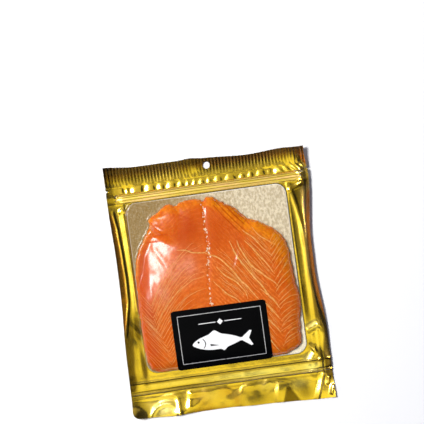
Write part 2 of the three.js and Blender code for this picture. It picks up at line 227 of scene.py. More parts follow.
@dataclass(frozen=True)
class RoundedRectangle:
    """A rectangle with round corners."""

    left: float
    right: float
    bottom: float
    top: float
    radius: float

    def shrunk(self, inset: float, radius: float) -> "RoundedRectangle":
        """The rectangle that lies an inset within this one, with its own corner radius."""
        sides = (self.left + inset, self.right - inset, self.bottom + inset, self.top - inset)
        return RoundedRectangle(*sides, radius)

    def distance(self, x: Values, y: Values) -> Values:
        """Distance outside the square-cornered rectangle, nought within it."""
        dx, dy = np.maximum(self.left - x, x - self.right), np.maximum(self.bottom - y, y - self.top)
        return np.hypot(np.maximum(dx, 0), np.maximum(dy, 0))

    def outside(self, x: Values, y: Values) -> Values:
        """Distance outside the rounded outline, below nought within it."""
        return self.shrunk(self.radius, 0).distance(x, y) - self.radius

    def contains(self, x: Values, y: Values) -> Values:
        """Whether each point lies within the rounded outline."""
        return self.outside(x, y) <= 0

    def outline(self, steps: int, inset: float = 0.0) -> list[Point]:
        """The outline, counterclockwise.

        Args:
            steps: Steps in each corner.
            inset: How far within the rectangle the outline lies.

        Returns:
            The outline's points.
        """
        radius = self.radius - inset
        corners = (
            (self.right, self.top, -1, -1),
            (self.left, self.top, 1, -1),
            (self.left, self.bottom, 1, 1),
            (self.right, self.bottom, -1, 1),
        )
        points = []
        for quarter, (x, y, to_x, to_y) in enumerate(corners):
            for step in range(steps + 1):
                angle = math.pi / 2 * (quarter + step / steps)
                centre = (x + to_x * self.radius, y + to_y * self.radius)
                points.append((centre[0] + radius * math.cos(angle), centre[1] + radius * math.sin(angle)))
        return points


BOARD = RoundedRectangle(-84.7, 76.6, -81.8, 89.6, 10.5)
LABEL = RoundedRectangle(-54.1, 41.2, -82.7, -22.8, 2.8)
BOARD_BASE, BOARD_TOP = (corner[2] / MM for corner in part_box("board"))
FISH_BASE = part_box("salmon")[0][2] / MM
PLAN_SHIFT = (
    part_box("board")[0][0] / MM - BOARD.left,
    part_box("board")[0][1] / MM - BOARD.bottom,
)

FOLDS = tuple(Fold(*row) for row in (
    ((79, -62), (92, -56.5), 1.3, 5.8, Crest.LEANING),
    ((91, -54.2), (94, -62), 0.8, 2.4, Crest.SHARP), ((79, -75), (86, -83), 0.9, 2.8, Crest.SHARP),
    ((78.5, -92), (84, -84), 1.3, 4.6), ((80, -103), (88, -92), 1.3, 5.0),
    ((89.0, -62), (88.6, -101), 0.55, 2.0), ((-96.5, -30), (-86.5, -44), 0.7, 2.4, Crest.SHARP),
    ((-95, -36), (-88, -50), 0.6, 2.0, Crest.SHARP),
    ((-92, 81), (-88.2, 85.5), 0.9, 2.0, Crest.SHARP),
    ((-88.6, 85.5), (-84.5, 80.5), 0.9, 2.0, Crest.SHARP),
    ((78.5, 81), (95, 87.5), 0.9, 2.4, Crest.SHARP),
))

# The frame's long ridges, and the lines from which its edges turn up.
LEFT_TURN = Ridge(
    ((-98.2, 82), (-95.9, 67), (-94.6, 42), (-93.9, 15), (-94.8, -9), (-98.0, -25), (-101.5, -42)), 0.75, 1.3
)
RIGHT_TURN = Ridge((
    (97.6, 80), (94.6, 67), (92.2, 46), (90.6, 21), (90.4, 1), (91.6, -19), (94.6, -37), (98.4, -52),
), 0.0, 1.0)
RIGHT_STRIPE = Ridge(
    ((79.0, 82), (83.0, 65), (84.3, 55), (85.4, 45), (86.0, 25), (86.3, 0), (86.4, -50)), 0.0, 2.0
)
RIGHT_CREST = ((81.2, 84), (85.2, 65), (86.5, 55), (87.6, 45), (88.2, 32))
LEFT_STRIPE = Ridge(((-88.0, 84), (-85.9, 20), (-86.7, -20)), 1.15, 3.6)
RIDGES = (
    LEFT_TURN,
    LEFT_STRIPE,
    Ridge(((-90.8, 84), (-89.6, 20), (-90.4, -14)), 0.12, 0.7),
    Ridge(((81.2, 82), *RIGHT_CREST[1:4], (88.2, 25), (88.5, 0), (88.6, -46)), 0.3, 2.6, 9.0),
    Ridge(RIGHT_CREST, 0.4, 2.6, 12.0),
    Ridge(((79.0, 78), (79.2, -40)), 0.25, 0.8, 8.0),
    Ridge(((-94.0, -48), (-95.5, -84)), 0.45, 2.4),
    Ridge(((84.0, -64), (84.6, -84)), 0.4, 2.2),
)

FLAP_FOLDS = tuple(Fold(*row) for row in (
    ((-47.8, -119.5), (-45.2, -107), 0.6, 2.0), ((-58, -126), (-28, -113), 0.9, 5.0),
    ((3.6, -124), (6.6, -108), 0.2, 2.2), ((29, -112), (33, -105), 0.6, 3.2),
    ((44.5, -107), (40.0, -131), 1.2, 14.0, Crest.LEANING),
    ((80.5, -131), (90.6, -103.5), 1.7, 5.0, Crest.LEANING),
    ((92.5, -117), (95.5, -108.5), 1.1, 3.4, Crest.LEANING),
    ((95.0, -127), (98.2, -117), 1.1, 3.4, Crest.LEANING),
))

# Creases of the clear film alone, where it is drawn over the fish.
DRAWN_CREASES = tuple(Fold(*row) for row in (
    ((-60.4, 71.9), (-38.7, 73.4), 0.45, 1.1, Crest.SHARP),
    ((-66.3, 55.2), (-56.4, 63), 0.5, 1.1, Crest.SHARP),
    ((-66.3, 55.2), (-38.7, 59.6), 0.45, 1.1, Crest.SHARP),
    ((-74, 55.6), (-36, 60.2), 0.9, 7.5, Crest.SHARP),
    ((-66.3, 55.2), (-59.4, 49.3), 0.45, 1.0, Crest.SHARP),
    ((-45.6, 49.3), (-38.7, 52.2), 0.35, 1.0, Crest.SHARP),
    ((-72, 49.4), (-53, 49.8), 0.5, 1.2, Crest.SHARP), ((-62, 42), (-50, 18), 0.25, 2.4),
    ((-56, 34), (-44, 14), 0.25, 3.0), ((24, 26), (18, 8), 0.35, 5.0),
    ((16.5, 13.5), (20, 18.5), 0.6, 1.6), ((18.5, 19.5), (21.5, 24), 0.6, 1.6),
    ((25, 15), (28, 19), 0.6, 1.6), ((30, 14.5), (33, 18), 0.55, 1.6),
    ((-31.3, 68.5), (-30.3, 69.5), 0.3, 1.2), ((-9.7, 64), (-9.5, 65), 0.3, 1.1),
    ((-5.2, 74.9), (-6.0, 76), 0.35, 1.2),
))


@dataclass(frozen=True)
class Shade:
    """A soft oval patch that looks darker or paler than what is around it."""

    x: float
    y: float
    across: float
    along: float
    strength: float

    def depth(self, x: Values, y: Values) -> Values:
        """How strongly the patch tells at each point."""
        return self.strength * bell(np.hypot((x - self.x) / self.across, (y - self.y) / self.along), 1)


# Patches of painted shade on the gold film; the one of negative strength lightens it.
SHADES = tuple(Shade(*row) for row in (
    (21, -120, 20, 13, 0.6), (-33, -126.5, 26, 3.2, 0.9), (-44, -99.6, 45, 2.0, 0.75),
    (69, -121, 8, 8, 0.75), (88, -111, 1.8, 6, 0.5), (79, 82, 2.4, 3.0, 0.7),
    (-96.5, -65, 3.0, 14, 0.6), (-99.5, -114, 5, 15, 0.6), (-101.5, -44, 4, 16, 1.0),
    (-103, -80, 4.5, 22, 0.9), (-91, -36, 9, 15, 1.4), (-89, -66, 1.6, 12, 0.8),
    (-92.7, -33, 1.4, 11, -0.7), (-87.4, -76, 2.6, 13, 1.5), (-99, -86, 9, 6, 0.5),
    (80.5, -76, 3.5, 6, 0.7), (81, -30, 2.4, 17, 0.8), (88.5, -87, 2.2, 8, 0.8),
))

# Patches of painted sheen on the gold film.
SHEENS = tuple(Shade(*row) for row in (
    (-74, -118, 12, 9, 0.8), (79, -97, 8, 4, 0.9), (76, -87, 6, 3, 0.6), (26, -96, 52, 3.8, 0.8),
    (-62, -95, 24, 2.4, 0.25), (-28, -112, 10, 6, 0.3), (33, -110, 9, 5, 0.35),
    (64, -112, 8, 5, 0.5), (85, -56, 6, 4, 0.6),
))


@dataclass(frozen=True)
class Lift:
    """A place where the pouch stands off what it lies on."""

    x: float
    y: float
    height: float
    reach: float

    def rise(self, x: Values, y: Values) -> Values:
        """How far each point is lifted."""
        return self.height * bell(np.hypot(x - self.x, y - self.y), self.reach)


@dataclass(frozen=True)
class EdgeWave:
    """A place where the pouch's top or bottom edge waves out."""

    x: float
    height: float
    reach: float

    def shift(self, x: Values) -> Values:
        """How far the edge is shifted along the pouch."""
        return self.height * bell(x - self.x, self.reach)


@dataclass(frozen=True)
class Pouch:
    """Outline and relief of the pouch, with the plan's origin near its middle."""

    width: float = 203.0
    top: float = 125.2
    bottom: float = -127.0
    bottom_slope: float = -0.022
    centre_x: float = -1.8
    lean: float = 0.012
    corner_draw: float = 2.2
    waist_left: float = 2.0
    waist_right: float = 5.0
    corner_radius: float = 8.0
    zip_y: float = 94.7
    zip_half: float = 4.75
    zip_ends: Point = (-92.0, 94.0)
    seal_top: float = -89.6
    seal_bottom: float = -101.4
    header_start: float = 107.2
    curl_left: float = 2.0
    curl_right: float = 4.8
    curl_margins: Point = (3.0, 2.2)
    header_rise: float = 1.3
    flap_rise: float = 1.2
    film: float = 0.14
    fused_gap: float = 0.05
    rib_room: float = 0.15
    lifts: tuple[Lift, ...] = (
        Lift(104, 128, 5.0, 28),
        Lift(-102, 128, 2.6, 30),
        Lift(-15, 127, 1.8, 12),
        Lift(-106, -128, 7.0, 12),
        Lift(101, -130, 1.2, 16),
    )
    top_waves: tuple[EdgeWave, ...] = (
        EdgeWave(-15, 1.2, 8),
        EdgeWave(-42, 0.4, 20),
        EdgeWave(42, -2.6, 28),
        EdgeWave(96, -1.6, 14),
        EdgeWave(-102, 3.0, 20),
    )
    bottom_waves: tuple[EdgeWave, ...] = (
        EdgeWave(80, -1.1, 22),
        EdgeWave(-66, -1.2, 18),
        EdgeWave(-10, 0.6, 14),
    )
    scallops: tuple[float, ...] = (-41, -28.5, -8.5, 13, 26.3, 37.6)
    pucker_y: float = 103.2
    pucker_places: tuple[float, ...] = (
        -84, -78.5, -64.5, -52.5, -43, -31.5, -23.5, -17, -10, -2.5, 5.5, 16.5, 30, 39.5, 48, 59.5, 66,
    )

    def waist(self, y: Values) -> Values:
        """How far in the vacuum has drawn the sides, from 0 to 1."""
        return window(-66, 2, 28, 90, y)

    def corner_inset(self, y: Values) -> Values:
        """How far the rounded bottom left corner runs in from the side edge."""
        rise = np.clip(y - self.bottom, 0, self.corner_radius)
        return self.corner_radius - np.sqrt(self.corner_radius**2 - (self.corner_radius - rise) ** 2)

    def left_edge(self, y: Values) -> Values:
        """Place of the left side edge."""
        straight = self.centre_x - self.width / 2 + self.lean * y
        return straight + self.waist_left * self.waist(y) + self.corner_inset(y)

    def right_edge(self, y: Values) -> Values:
        """Place of the right side edge, drawn in where the top corner curls up."""
        drawn = self.waist_right * self.waist(y) + self.corner_draw * ramp(90, 122, y)
        return self.centre_x + self.width / 2 + self.lean * y - drawn

    def row_height(self, row: Values, x: Values) -> Values:
        """Where a grid row runs, as it bends with the top and bottom edges.

        Args:
            row: The row's place along a flat pouch.
            x: Places across.

        Returns:
            The row's places along the pouch.
        """
        top = sum(wave.shift(x) for wave in self.top_waves)
        foot = sum(wave.shift(x) for wave in self.bottom_waves)
        header = ramp(self.zip_y + self.zip_half, self.top, row)
        flap = ramp(self.seal_bottom, self.bottom, row)
        return row + header * top + flap * (self.bottom_slope * x + foot)

    def lift(self, x: Values, y: Values) -> Values:
        """The slow rise of the side seals, the header, the flap and the corners.

        Args:
            x: Places across.
            y: Places along.

        Returns:
            Height at each point.
        """
        off = y - self.zip_y
        beyond = np.maximum(np.abs(off) - self.zip_half, 0)
        row = y - np.sign(off) * np.minimum(np.abs(off), self.zip_half) * np.exp(-beyond / 10)
        start_left = BOARD.left - self.curl_margins[0]
        start_right = BOARD.right + self.curl_margins[1] + 5 * window(25, 75, 86, 96, row)
        at_left = (start_left - x) / (start_left - self.left_edge(row))
        at_right = (x - start_right) / (self.right_edge(row) - start_right)
        rise = self.curl_left * unit(at_left) ** 2
        steady = 0.3 + 0.3 * ramp(-104, -96, row) + 0.4 * ramp(-80, -20, row)
        rise = rise + self.curl_right * unit(at_right) ** 3 * steady
        rise += unit((row - self.zip_y - 9) / (self.top - self.zip_y - 9)) ** 2 * self.header_rise
        flap = self.flap_rise + 1.4 * ramp(-30, -50, x)
        rise += ramp(self.seal_bottom, self.bottom, row) * flap
        return rise + sum(spot.rise(x, row) for spot in self.lifts)

    def puckers(self, x: Values, y: Values) -> Values:
        """The row of small dents in the pillow between the header's seal and the closure.

        Args:
            x: Places across.
            y: Places along.

        Returns:
            Height at each point.
        """
        pillow = 0.95 * bell(y - self.pucker_y + 4.0, 5.6)
        dents = np.zeros_like(x)
        for index, place in enumerate(self.pucker_places):
            lean = 0.12 * (index % 3 - 1)
            across = x - place - lean * (y - self.pucker_y)
            size = 0.8 + 0.25 * ((index * 7) % 5) / 4
            short = 1.3 + 1.2 * float(ramp(-20, 20, np.array(place)))
            dents += size * bell(across, np.where(across > 0, 3.3, short))
        dents *= bell(y - self.pucker_y + 0.6, 4.2)
        slants = window(70, 76, 92, 98, x) * np.sin((x * 1.2 + y) * 0.7) * bell(y - 103, 4)
        return pillow - dents + 0.35 * slants

    def under_zip(self, x: Values, y: Values) -> Values:
        """Shallow steps of the back film under the closure, each facing the header.

        Args:
            x: Places across.
            y: Places along.

        Returns:
            Height at each point.
        """
        off = y - self.zip_y
        teeth = np.zeros_like(x)
        for crest, run in ((0.9, 2.6), (-2.3, 1.9), (-4.6, 1.5)):
            slope = unit((crest + run - off) / run)
            teeth = np.maximum(teeth, slope * ramp(crest - 0.5, crest, off))
        return 0.3 * teeth * ramp(97, 92, np.abs(x))

    def machine_seal(self, x: Values, y: Values) -> Values:
        """The pressed band near the lower edge, a bead at each side of a shallow channel.

        Args:
            x: Places across.
            y: Places along.

        Returns:
            Height at each point.
        """
        wobble = 0.25 * noise(x, y * 0, 14, 5)
        upper, lower = y - self.seal_top - wobble, y - self.seal_bottom - wobble
        ledge = ramp(1.2, -0.4, upper) * ramp(-1.6, 0.2, lower)
        bowl = ((y - self.seal_top + 4) / 9) * ledge
        beads = 0.45 * bell(upper + 0.5, 0.8) + 0.4 * bell(lower - 0.2, 0.7) - 0.35 * bell(lower - 1.6, 0.8)
        waves = 0.12 * noise(x, y, 13, 6) + 0.22 * sum(bell(x - at, 3.0) for at in (11.0, 72.0, -78.0, -92.0))
        return 0.25 * ledge - 0.35 * bowl + beads + waves * ledge

    def crumple(self, x: Values, y: Values) -> Values:
        """Faceted creasing of the loose flap below the machine seal.

        Args:
            x: Places across.
            y: Places along.

        Returns:
            Height at each point.
        """
        facets = np.zeros_like(x)
        rng = np.random.default_rng(11)
        for _ in range(6):
            angle, length = rng.uniform(0, math.pi), rng.uniform(26, 52)
            phase = (x * math.cos(angle) + 0.7 * y * math.sin(angle)) / length + rng.uniform(0, 1)
            facets += length / 40 * np.sqrt((phase % 1 - 0.5) ** 2 + 0.0004)
        loose = ramp(self.seal_bottom - 0.5, self.seal_bottom - 6, y)
        swell = 0.6 * noise(x, y * 1.3, 19, 9) + 0.10 * noise(x, y, 7, 10)
        scallops = sum(bell(np.hypot((x - at) / 1.5, y - self.seal_bottom + 6), 4) for at in self.scallops)
        below = ramp(0, 3, self.seal_bottom - y)
        calm = 1 - 0.75 * ramp(-36, -52, x) - 0.8 * bell(x - 60, 17)
        return loose * calm * (0.8 * (facets - 1.2) + swell) + 0.6 * below * scallops + self.pillow(x, y)

    def pillow(self, x: Values, y: Values) -> Values:
        """The soft swelling at the left of the flap, with a round-cornered rim and a low arch within.

        Args:
            x: Places across.
            y: Places along.

        Returns:
            Height at each point.
        """
        off = RoundedRectangle(-140, -55.6, -160, -103.6, 7).outside(x, y)
        tilt = 0.05 * np.clip(x + 64, -14, 6) + 0.04 * np.clip(-112 - y, 0, 17)
        body = ramp(3.5, -2.8, off) * (0.2 + tilt)
        arch = 0.65 * bell(np.hypot(x + 71, y + 131) - 17.0, 2.4) * ramp(-59, -66, x)
        return body + 0.42 * bell(off + 2.9, 1.9) + arch

    def crinkle(self, x: Values, y: Values) -> Values:
        """Everything finer than the slow rise.

        Args:
            x: Places across.
            y: Places along.

        Returns:
            Height at each point.
        """
        height = sum(fold.height(x, y) for fold in FOLDS + RIDGES + FLAP_FOLDS)
        height = height + self.puckers(x, y) + self.machine_seal(x, y) + self.crumple(x, y)
        drawn = 0.08 * noise(x, y, 11, 21) + 0.02 * noise(x, y, 4, 22)
        pulls = 0.05 * noise(x, y * 0.25, 6, 23) * ramp(3, 9, BOARD.distance(x, y))
        return height + drawn + pulls

    def back_underside(self, x: Values, y: Values) -> Values:
        """Height of the underside of the back film.

        Args:
            x: Places across.
            y: Places along.

        Returns:
            Height at each point.
        """
        clear = ramp(0.2, 2.0, BOARD.distance(x, y))
        by_zip = ramp(self.zip_half + 0.6, self.zip_half - 0.4, np.abs(y - self.zip_y))
        by_zip = by_zip * ramp(96, 90, np.abs(x))
        fine = (1 - by_zip) * self.crinkle(x, y) + by_zip * self.under_zip(x, y)
        beside = 0.25 * window(0, 7, 7, 11, BOARD.bottom - y)
        ribbed = self.rib_room * ramp(self.header_start - 1, self.header_start, y)
        return np.maximum(clear * (self.lift(x, y) + fine + beside), 0) + ribbed


POUCH = Pouch()


@dataclass(frozen=True)
class FishForm:
    """Outline and top of the sliced fish."""

    centre: Point = (-10.0, -6.0)
    thickness: float = 8.0
    rim: float = 2.6
    lobe_drop: float = 0.6
    groove: float = 0.35
    shoulder_start: float = 48.5
    flank_start: float = -70.5
    slice_edges: tuple[float, ...] = (88.5, 96.0, 103.0, 109.0)
    outline: tuple[Point, ...] = (
        (-7.2, 82.4), (-10.6, 84.4), (-17, 85.3), (-29.5, 84), (-34.4, 81.4), (-42.8, 83.7), (-52.7, 77.9),
        (-63.7, 70), (-62.6, 67.2), (-70, 53.5), (-78.4, 39.6), (-83.4, 20), (-84.4, 4),
        (-84.2, -62), (-81.8, -74.5), (-74.5, -80.9), (-60, -81.2), (41, -80.6), (59.2, -78.8),
        (70.6, -72), (72.4, -60), (73.7, -46), (76.3, -30), (73.6, -7), (72.6, 10),
        (69.8, 31.5), (63, 42.2), (47.8, 53.4), (34.2, 60.2),
        (22.9, 71.7), (10, 80), (-0.6, 86.1), (-4.4, 84.6),
    )

    def reach(self, angle: Values) -> Values:
        """Distance from the centre to the smooth edge.

        Args:
            angle: Directions, in radians.

        Returns:
            The distance in each direction.
        """
        rim = closed_curve(self.outline, 24) - np.array(self.centre)
        angles = np.arctan2(rim[:, 1], rim[:, 0])
        order = np.argsort(angles)
        turned = np.arctan2(np.sin(angle), np.cos(angle))
        return np.interp(turned, angles[order], np.hypot(*rim.T)[order], period=2 * math.pi)

    def ragged(self, angle: Values) -> Values:
        """How far the torn edge stands out past the smooth one.

        Args:
            angle: Directions, in radians.

        Returns:
            The distance in each direction.
        """
        turned = np.arctan2(np.sin(angle), np.cos(angle)) * 60
        still = turned * 0
        return 0.45 * noise(turned, still, 2.2, 31) + 0.35 * noise(turned, still, 0.9, 32) - 0.1

    def share(self, x: Values, y: Values) -> Values:
        """How far out points lie.

        Args:
            x: Places across.
            y: Places along.

        Returns:
            A share for each point, from 0 at the centre to 1 at the edge.
        """
        dx, dy = x - self.centre[0], y - self.centre[1]
        angle = np.arctan2(dy, dx)
        reach = self.reach(angle)
        share = np.hypot(dx, dy) / reach
        return share / (1 + self.ragged(angle) / reach * ramp(0.85, 1, share))

    def seam(self, y: Values) -> Values:
        """Place across of the line where the two lobes meet."""
        return -8 - 4.5 * ramp(40, -10, y)

    def bow(self, x: Values, y: Values) -> Values:
        """Level of the long fat lines of the right lobe, the same all along each line."""
        return y + 1.35 * (x + 6.2)

    def slice_level(self, x: Values, y: Values) -> Values:
        """The level of the long lines, wavy as the edges of the slices are."""
        return self.bow(x, y) + 1.2 * noise(x, y, 11, 41)

    def terraces(self, x: Values, y: Values) -> Values:
        """Edges of the overlapping slices at the upper right, each a small step down."""
        level = self.slice_level(x, y)
        return 0.34 * window(0, 6, 30, 44, x) * sum(ramp(at, at + 0.7, level) for at in self.slice_edges)

    def top(self, x: Values, y: Values) -> Values:
        """Height of the top of the fish, which only holds within its outline.

        Args:
            x: Places across.
            y: Places along.

        Returns:
            Height at each point.
        """
        share = unit(self.share(x, y))
        dome = (1 - share ** (11 + 3 * ramp(-15, 20, x))) ** 0.85
        lobes = self.lobe_drop * ramp(20, 80, y)
        groove = self.groove * bell(x - self.seam(y), 1.5) * ramp(-60, 0, y)
        ripple = 0.12 * np.sin(0.16 * x + 0.09 * y) * np.sin(0.11 * y - 0.05 * x)
        ripple = ripple + 0.10 * noise(x, y, 8, 42) + 0.05 * noise(x, y, 2.6, 43)
        full = self.thickness - self.rim - lobes - groove + ripple
        raised = np.maximum(full * dome - self.shoulder(x, y) - self.flank(x, y), -0.5 * self.rim * share**3)
        return FISH_BASE + self.rim + raised - self.terraces(x, y)

    def shoulder(self, x: Values, y: Values) -> Values:
        """How far the thin flank at the upper left lies below the full height.

        Args:
            x: Places across.
            y: Places along.

        Returns:
            Depth at each point.
        """
        along = 0.6 * x + 0.8 * y
        start = self.shoulder_start + 0.1 * along
        run = np.clip(0.6 * y - 0.8 * x - start, 0, 40)
        ease = 24 * (1 - np.exp(-((run / 24) ** 1.6)))
        return 0.235 * ease * window(-56, -26, 6, 16, along)

    def flank(self, x: Values, y: Values) -> Values:
        """How far the steeper left side lies below the shoulder."""
        past = self.flank_start - x
        return 0.1 * (past + np.hypot(past, 1.6)) * window(-22, 4, 46, 54, y)


FISH = FishForm()


# ---- Meshes --------------------


def to_frame(x: Values, y: Values, z: Values) -> Values:
    """Points of the plan as rows of frame coordinates in metres."""
    across, along = np.ravel(x) + PLAN_SHIFT[0], np.ravel(y) + PLAN_SHIFT[1]
    return np.column_stack([across, along, np.ravel(z) * np.ones_like(across)]) * MM


def link_object(name: str, data: bpy.types.ID) -> Piece:
    """A new object that holds some data, linked to the scene.

    Args:
        name: The object's name.
        data: Its mesh or light.

    Returns:
        The object.
    """
    made = bpy.data.objects.new(name, data)
    bpy.context.scene.collection.objects.link(made)
    return made


def wire_object(name: str, points: Values, edges: Sequence[tuple[int, int]] = ()) -> Piece:
    """An object of loose points and edges, in metres.

    Args:
        name: The object's name.
        points: One row of x, y and z for each point.
        edges: Point numbers of each edge.

    Returns:
        The object, linked to the scene.
    """
    mesh = bpy.data.meshes.new(name)
    mesh.from_pydata(points.tolist(), edges, [])
    return link_object(name, mesh)


def new_object(name: str, vertices: Values, faces: Sequence[Sequence[int]], sharp: float = 55.0) -> Piece:
    """A smooth-shaded mesh object from points in metres.

    Args:
        name: The object's name.
        vertices: One row of x, y and z for each point.
        faces: Point numbers of each face, outward side counterclockwise.
        sharp: Angle in degrees from which an edge stays sharp.

    Returns:
        The object, linked to the scene.
    """
    mesh = bpy.data.meshes.new(name)
    mesh.from_pydata(vertices.tolist(), [], faces)
    smooth(mesh, sharp)
    return link_object(name, mesh)


def smooth(mesh: bpy.types.Mesh, sharp: float) -> None:
    """Shades a mesh smooth, apart from edges that bend by more than an angle in degrees."""
    mesh.shade_smooth()
    mesh.set_sharp_from_angle(angle=math.radians(sharp))


def quads(numbers: Values) -> list[tuple[int, ...]]:
    """The faces between a grid of point numbers."""
    corners = (numbers[:-1, :-1], numbers[:-1, 1:], numbers[1:, 1:], numbers[1:, :-1])
    return list(zip(*(corner.ravel().tolist() for corner in corners), strict=True))


def ring_edges(ring: Sequence[int]) -> list[tuple[int, int]]:
    """The edges of a closed ring of point numbers."""
    return [(int(a), int(b)) for a, b in zip(ring, [*ring[1:], ring[0]], strict=True)]


def thin_shell(
    name: str, upper: Values, lower: Values, faces: Sequence[Sequence[int]], rim: Sequence[tuple[int, int]]
) -> Piece:
    """A closed piece between a sheet of faces and its copy below.

    Args:
        name: The object's name.
        upper: Points of its top, in metres.
        lower: Points of its underside, in the same order.
        faces: Faces of the top, counterclockwise.
        rim: Edges around the top, counterclockwise.

    Returns:
        The piece, linked to the scene.
    """
    count = len(upper)
    closed = [*faces, *(tuple(index + count for index in face[::-1]) for face in faces)]
    closed += [(b, a, a + count, b + count) for a, b in rim]
    return new_object(name, np.vstack([upper, lower]), closed)


def stacked_faces(base: int, count: int, levels: int) -> list[list[int]]:
    """Faces of a solid made of equal rings of points, one on another.

    Args:
        base: Number of the first point of the lowest ring.
        count: Points in a ring.
        levels: Number of rings.

    Returns:
        The faces of its sides, its bottom and its top.
    """
    last = base + (levels - 1) * count
    faces = [[base + k for k in range(count)][::-1], [last + k for k in range(count)]]
    for ring in range(base, last, count):
        sides = ring_edges(range(ring, ring + count))
        faces += [[a, b, b + count, a + count] for a, b in sides]
    return faces


def bilinear(grid: Values, j: Values, i: Values, v: Values, u: Values) -> Values:
    """Values between the points of a grid.

    Args:
        grid: A value for each row and column.
        j: Rows before the places that are asked for.
        i: Columns before those places.
        v: Shares of the way to the next row.
        u: Shares of the way to the next column.

    Returns:
        One value for each place.
    """
    low = lerp(grid[j, i], grid[j, i + 1], u)
    high = lerp(grid[j + 1, i], grid[j + 1, i + 1], u)
    return lerp(low, high, v)


def bake_modifiers(made: Piece) -> None:
    """Turns an object with modifiers into a plain mesh with the same look.

    Args:
        made: The object.
    """
    graph = bpy.context.evaluated_depsgraph_get()
    mesh = bpy.data.meshes.new_from_object(made.evaluated_get(graph))
    made.modifiers.clear()
    old = made.data
    made.data = mesh
    bpy.data.meshes.remove(old)


def paint(made: Piece, name: str, values: Values) -> None:
    """Writes one number for each vertex as a named attribute."""
    layer = made.data.attributes.new(name, "FLOAT", "POINT")
    layer.data.foreach_set("value", np.ascontiguousarray(values, dtype=np.float32))


def plan_of(made: Piece) -> tuple[Values, Values]:
    """Plan positions of an object's vertices, in millimetres.

    Args:
        made: The object.

    Returns:
        The positions across and along.
    """
    points = np.empty(len(made.data.vertices) * 3, dtype=np.float32)
    made.data.vertices.foreach_get("co", points)
    points = points.reshape(-1, 3).astype(float) / MM
    return points[:, 0] - PLAN_SHIFT[0], points[:, 1] - PLAN_SHIFT[1]


def dress(made: Piece, material: bpy.types.Material) -> None:
    """Gives a piece one material and reports it.

    Args:
        made: The piece.
        material: Its material.
    """
    made.data.materials.clear()
    made.data.materials.append(material)
    LOG.info("%s: %d faces", made.name, len(made.data.polygons))


@dataclass
class PouchGrid:
    """Grid of both films: one part up to the header's seal, and a finer one across the header."""

    left_cells: int = 22
    centre_cells: int = 148
    right_cells: int = 30
    header_rows: int = 16

    def __post_init__(self) -> None:
        """Lays out the rows, close together where the relief is fine."""
        stretches = (
            (POUCH.bottom, -102.6, 0.72),
            (-102.6, -86.4, 0.45),
            (-86.4, -78, 1.0),
            (-78, 44, 2.1),
            (44, 78, 1.4),
            (78, 88.5, 1.1),
            (88.5, 100.6, 0.42),
            (100.6, POUCH.header_start, 0.66),
        )
        rows = [np.linspace(a, b, round((b - a) / gap), endpoint=False) for a, b, gap in stretches]
        self.rows = np.concatenate([*rows, [POUCH.header_start]])
        self.body = self.points(self.rows, 1)
        self.header = self.points(np.linspace(POUCH.header_start, POUCH.top, self.header_rows), 2)

    def points(self, rows: Values, fineness: int) -> tuple[Values, Values]:
        """Plan positions of every grid point of some rows.

        Args:
            rows: Places of the rows along the pouch.
            fineness: How many times finer than the body's columns the columns are.

        Returns:
            The positions across and along.
        """
        left = np.linspace(1, 0, self.left_cells * fineness, endpoint=False)
        centre = np.linspace(BOARD.left, BOARD.right, self.centre_cells * fineness + 1)
        right = np.linspace(1, 0, self.right_cells * fineness, endpoint=False)[::-1]
        at_left = lerp(BOARD.left, POUCH.left_edge(rows)[:, None], left[None, :])
        at_right = lerp(BOARD.right, POUCH.right_edge(rows)[:, None], right[None, :])
        x = np.hstack([at_left, np.tile(centre, (len(rows), 1)), at_right])
        return x, POUCH.row_height(rows[:, None], x)

    def sheet(self, name: str, body: Values, header: Values) -> Piece:
        """A film as a closed thin sheet over the grid.

        Args:
            name: The object's name.
            body: Height of the underside at each point below the header.
            header: Height of the underside at each point of the header.

        Returns:
            The sheet as an object.
        """
        count_j, count_i = body.shape
        fine_j, fine_i = header.shape
        lower = np.arange(count_i * count_j).reshape(count_j, count_i)
        upper = np.arange((fine_j - 1) * fine_i).reshape(fine_j - 1, fine_i) + lower.size
        parts = zip((*self.body, body), (*self.header, header), strict=True)
        x, y, z = (np.concatenate([coarse.ravel(), fine[1:].ravel()]) for coarse, fine in parts)
        faces = quads(lower) + quads(upper)
        last, first = lower[-1], upper[0]
        for i in range(count_i - 1):
            a, b = int(last[i]), int(last[i + 1])
            c, d, e = (int(first[2 * i + k]) for k in (0, 1, 2))
            faces += [(a, b, d), (a, d, c), (b, e, d)]
        right, top = [*lower[1:, -1], *upper[:, -1]], upper[-1, -2::-1]
        left = [*upper[-2::-1, 0], *lower[-1:0:-1, 0]]
        rim = ring_edges([*lower[0], *right, *top, *left])
        return thin_shell(name, to_frame(x, y, z + POUCH.film), to_frame(x, y, z), faces, rim)


def stretch_film(x: Values, y: Values, floor: Values, pull: float, passes: int) -> Values:
    """Height of a taut film that is sucked down onto what lies under it.

    Args:
        x: Plan positions across of a grid.
        y: Plan positions along of the grid.
        floor: Height below which the film can't go.
        pull: How strongly the vacuum bends the film, for each millimetre.
        passes: Rounds of relaxation.

    Returns:
        Heights of the film.
    """
    height = floor.copy()
    along_x = np.diff(x, axis=1)
    along_y = np.diff(y, axis=0)
    weight_x = 4 / (along_x[1:-1, :-1] + along_x[1:-1, 1:]) ** 2
    weight_y = 4 / (along_y[:-1, 1:-1] + along_y[1:, 1:-1]) ** 2
    for _ in range(passes):
        beside = height[1:-1, :-2] + height[1:-1, 2:]
        ahead = height[:-2, 1:-1] + height[2:, 1:-1]
        eased = (weight_x * beside + weight_y * ahead - pull) / (2 * weight_x + 2 * weight_y)
        height[1:-1, 1:-1] = np.maximum(floor[1:-1, 1:-1], eased)
    return height


# ---- Node trees --------------------


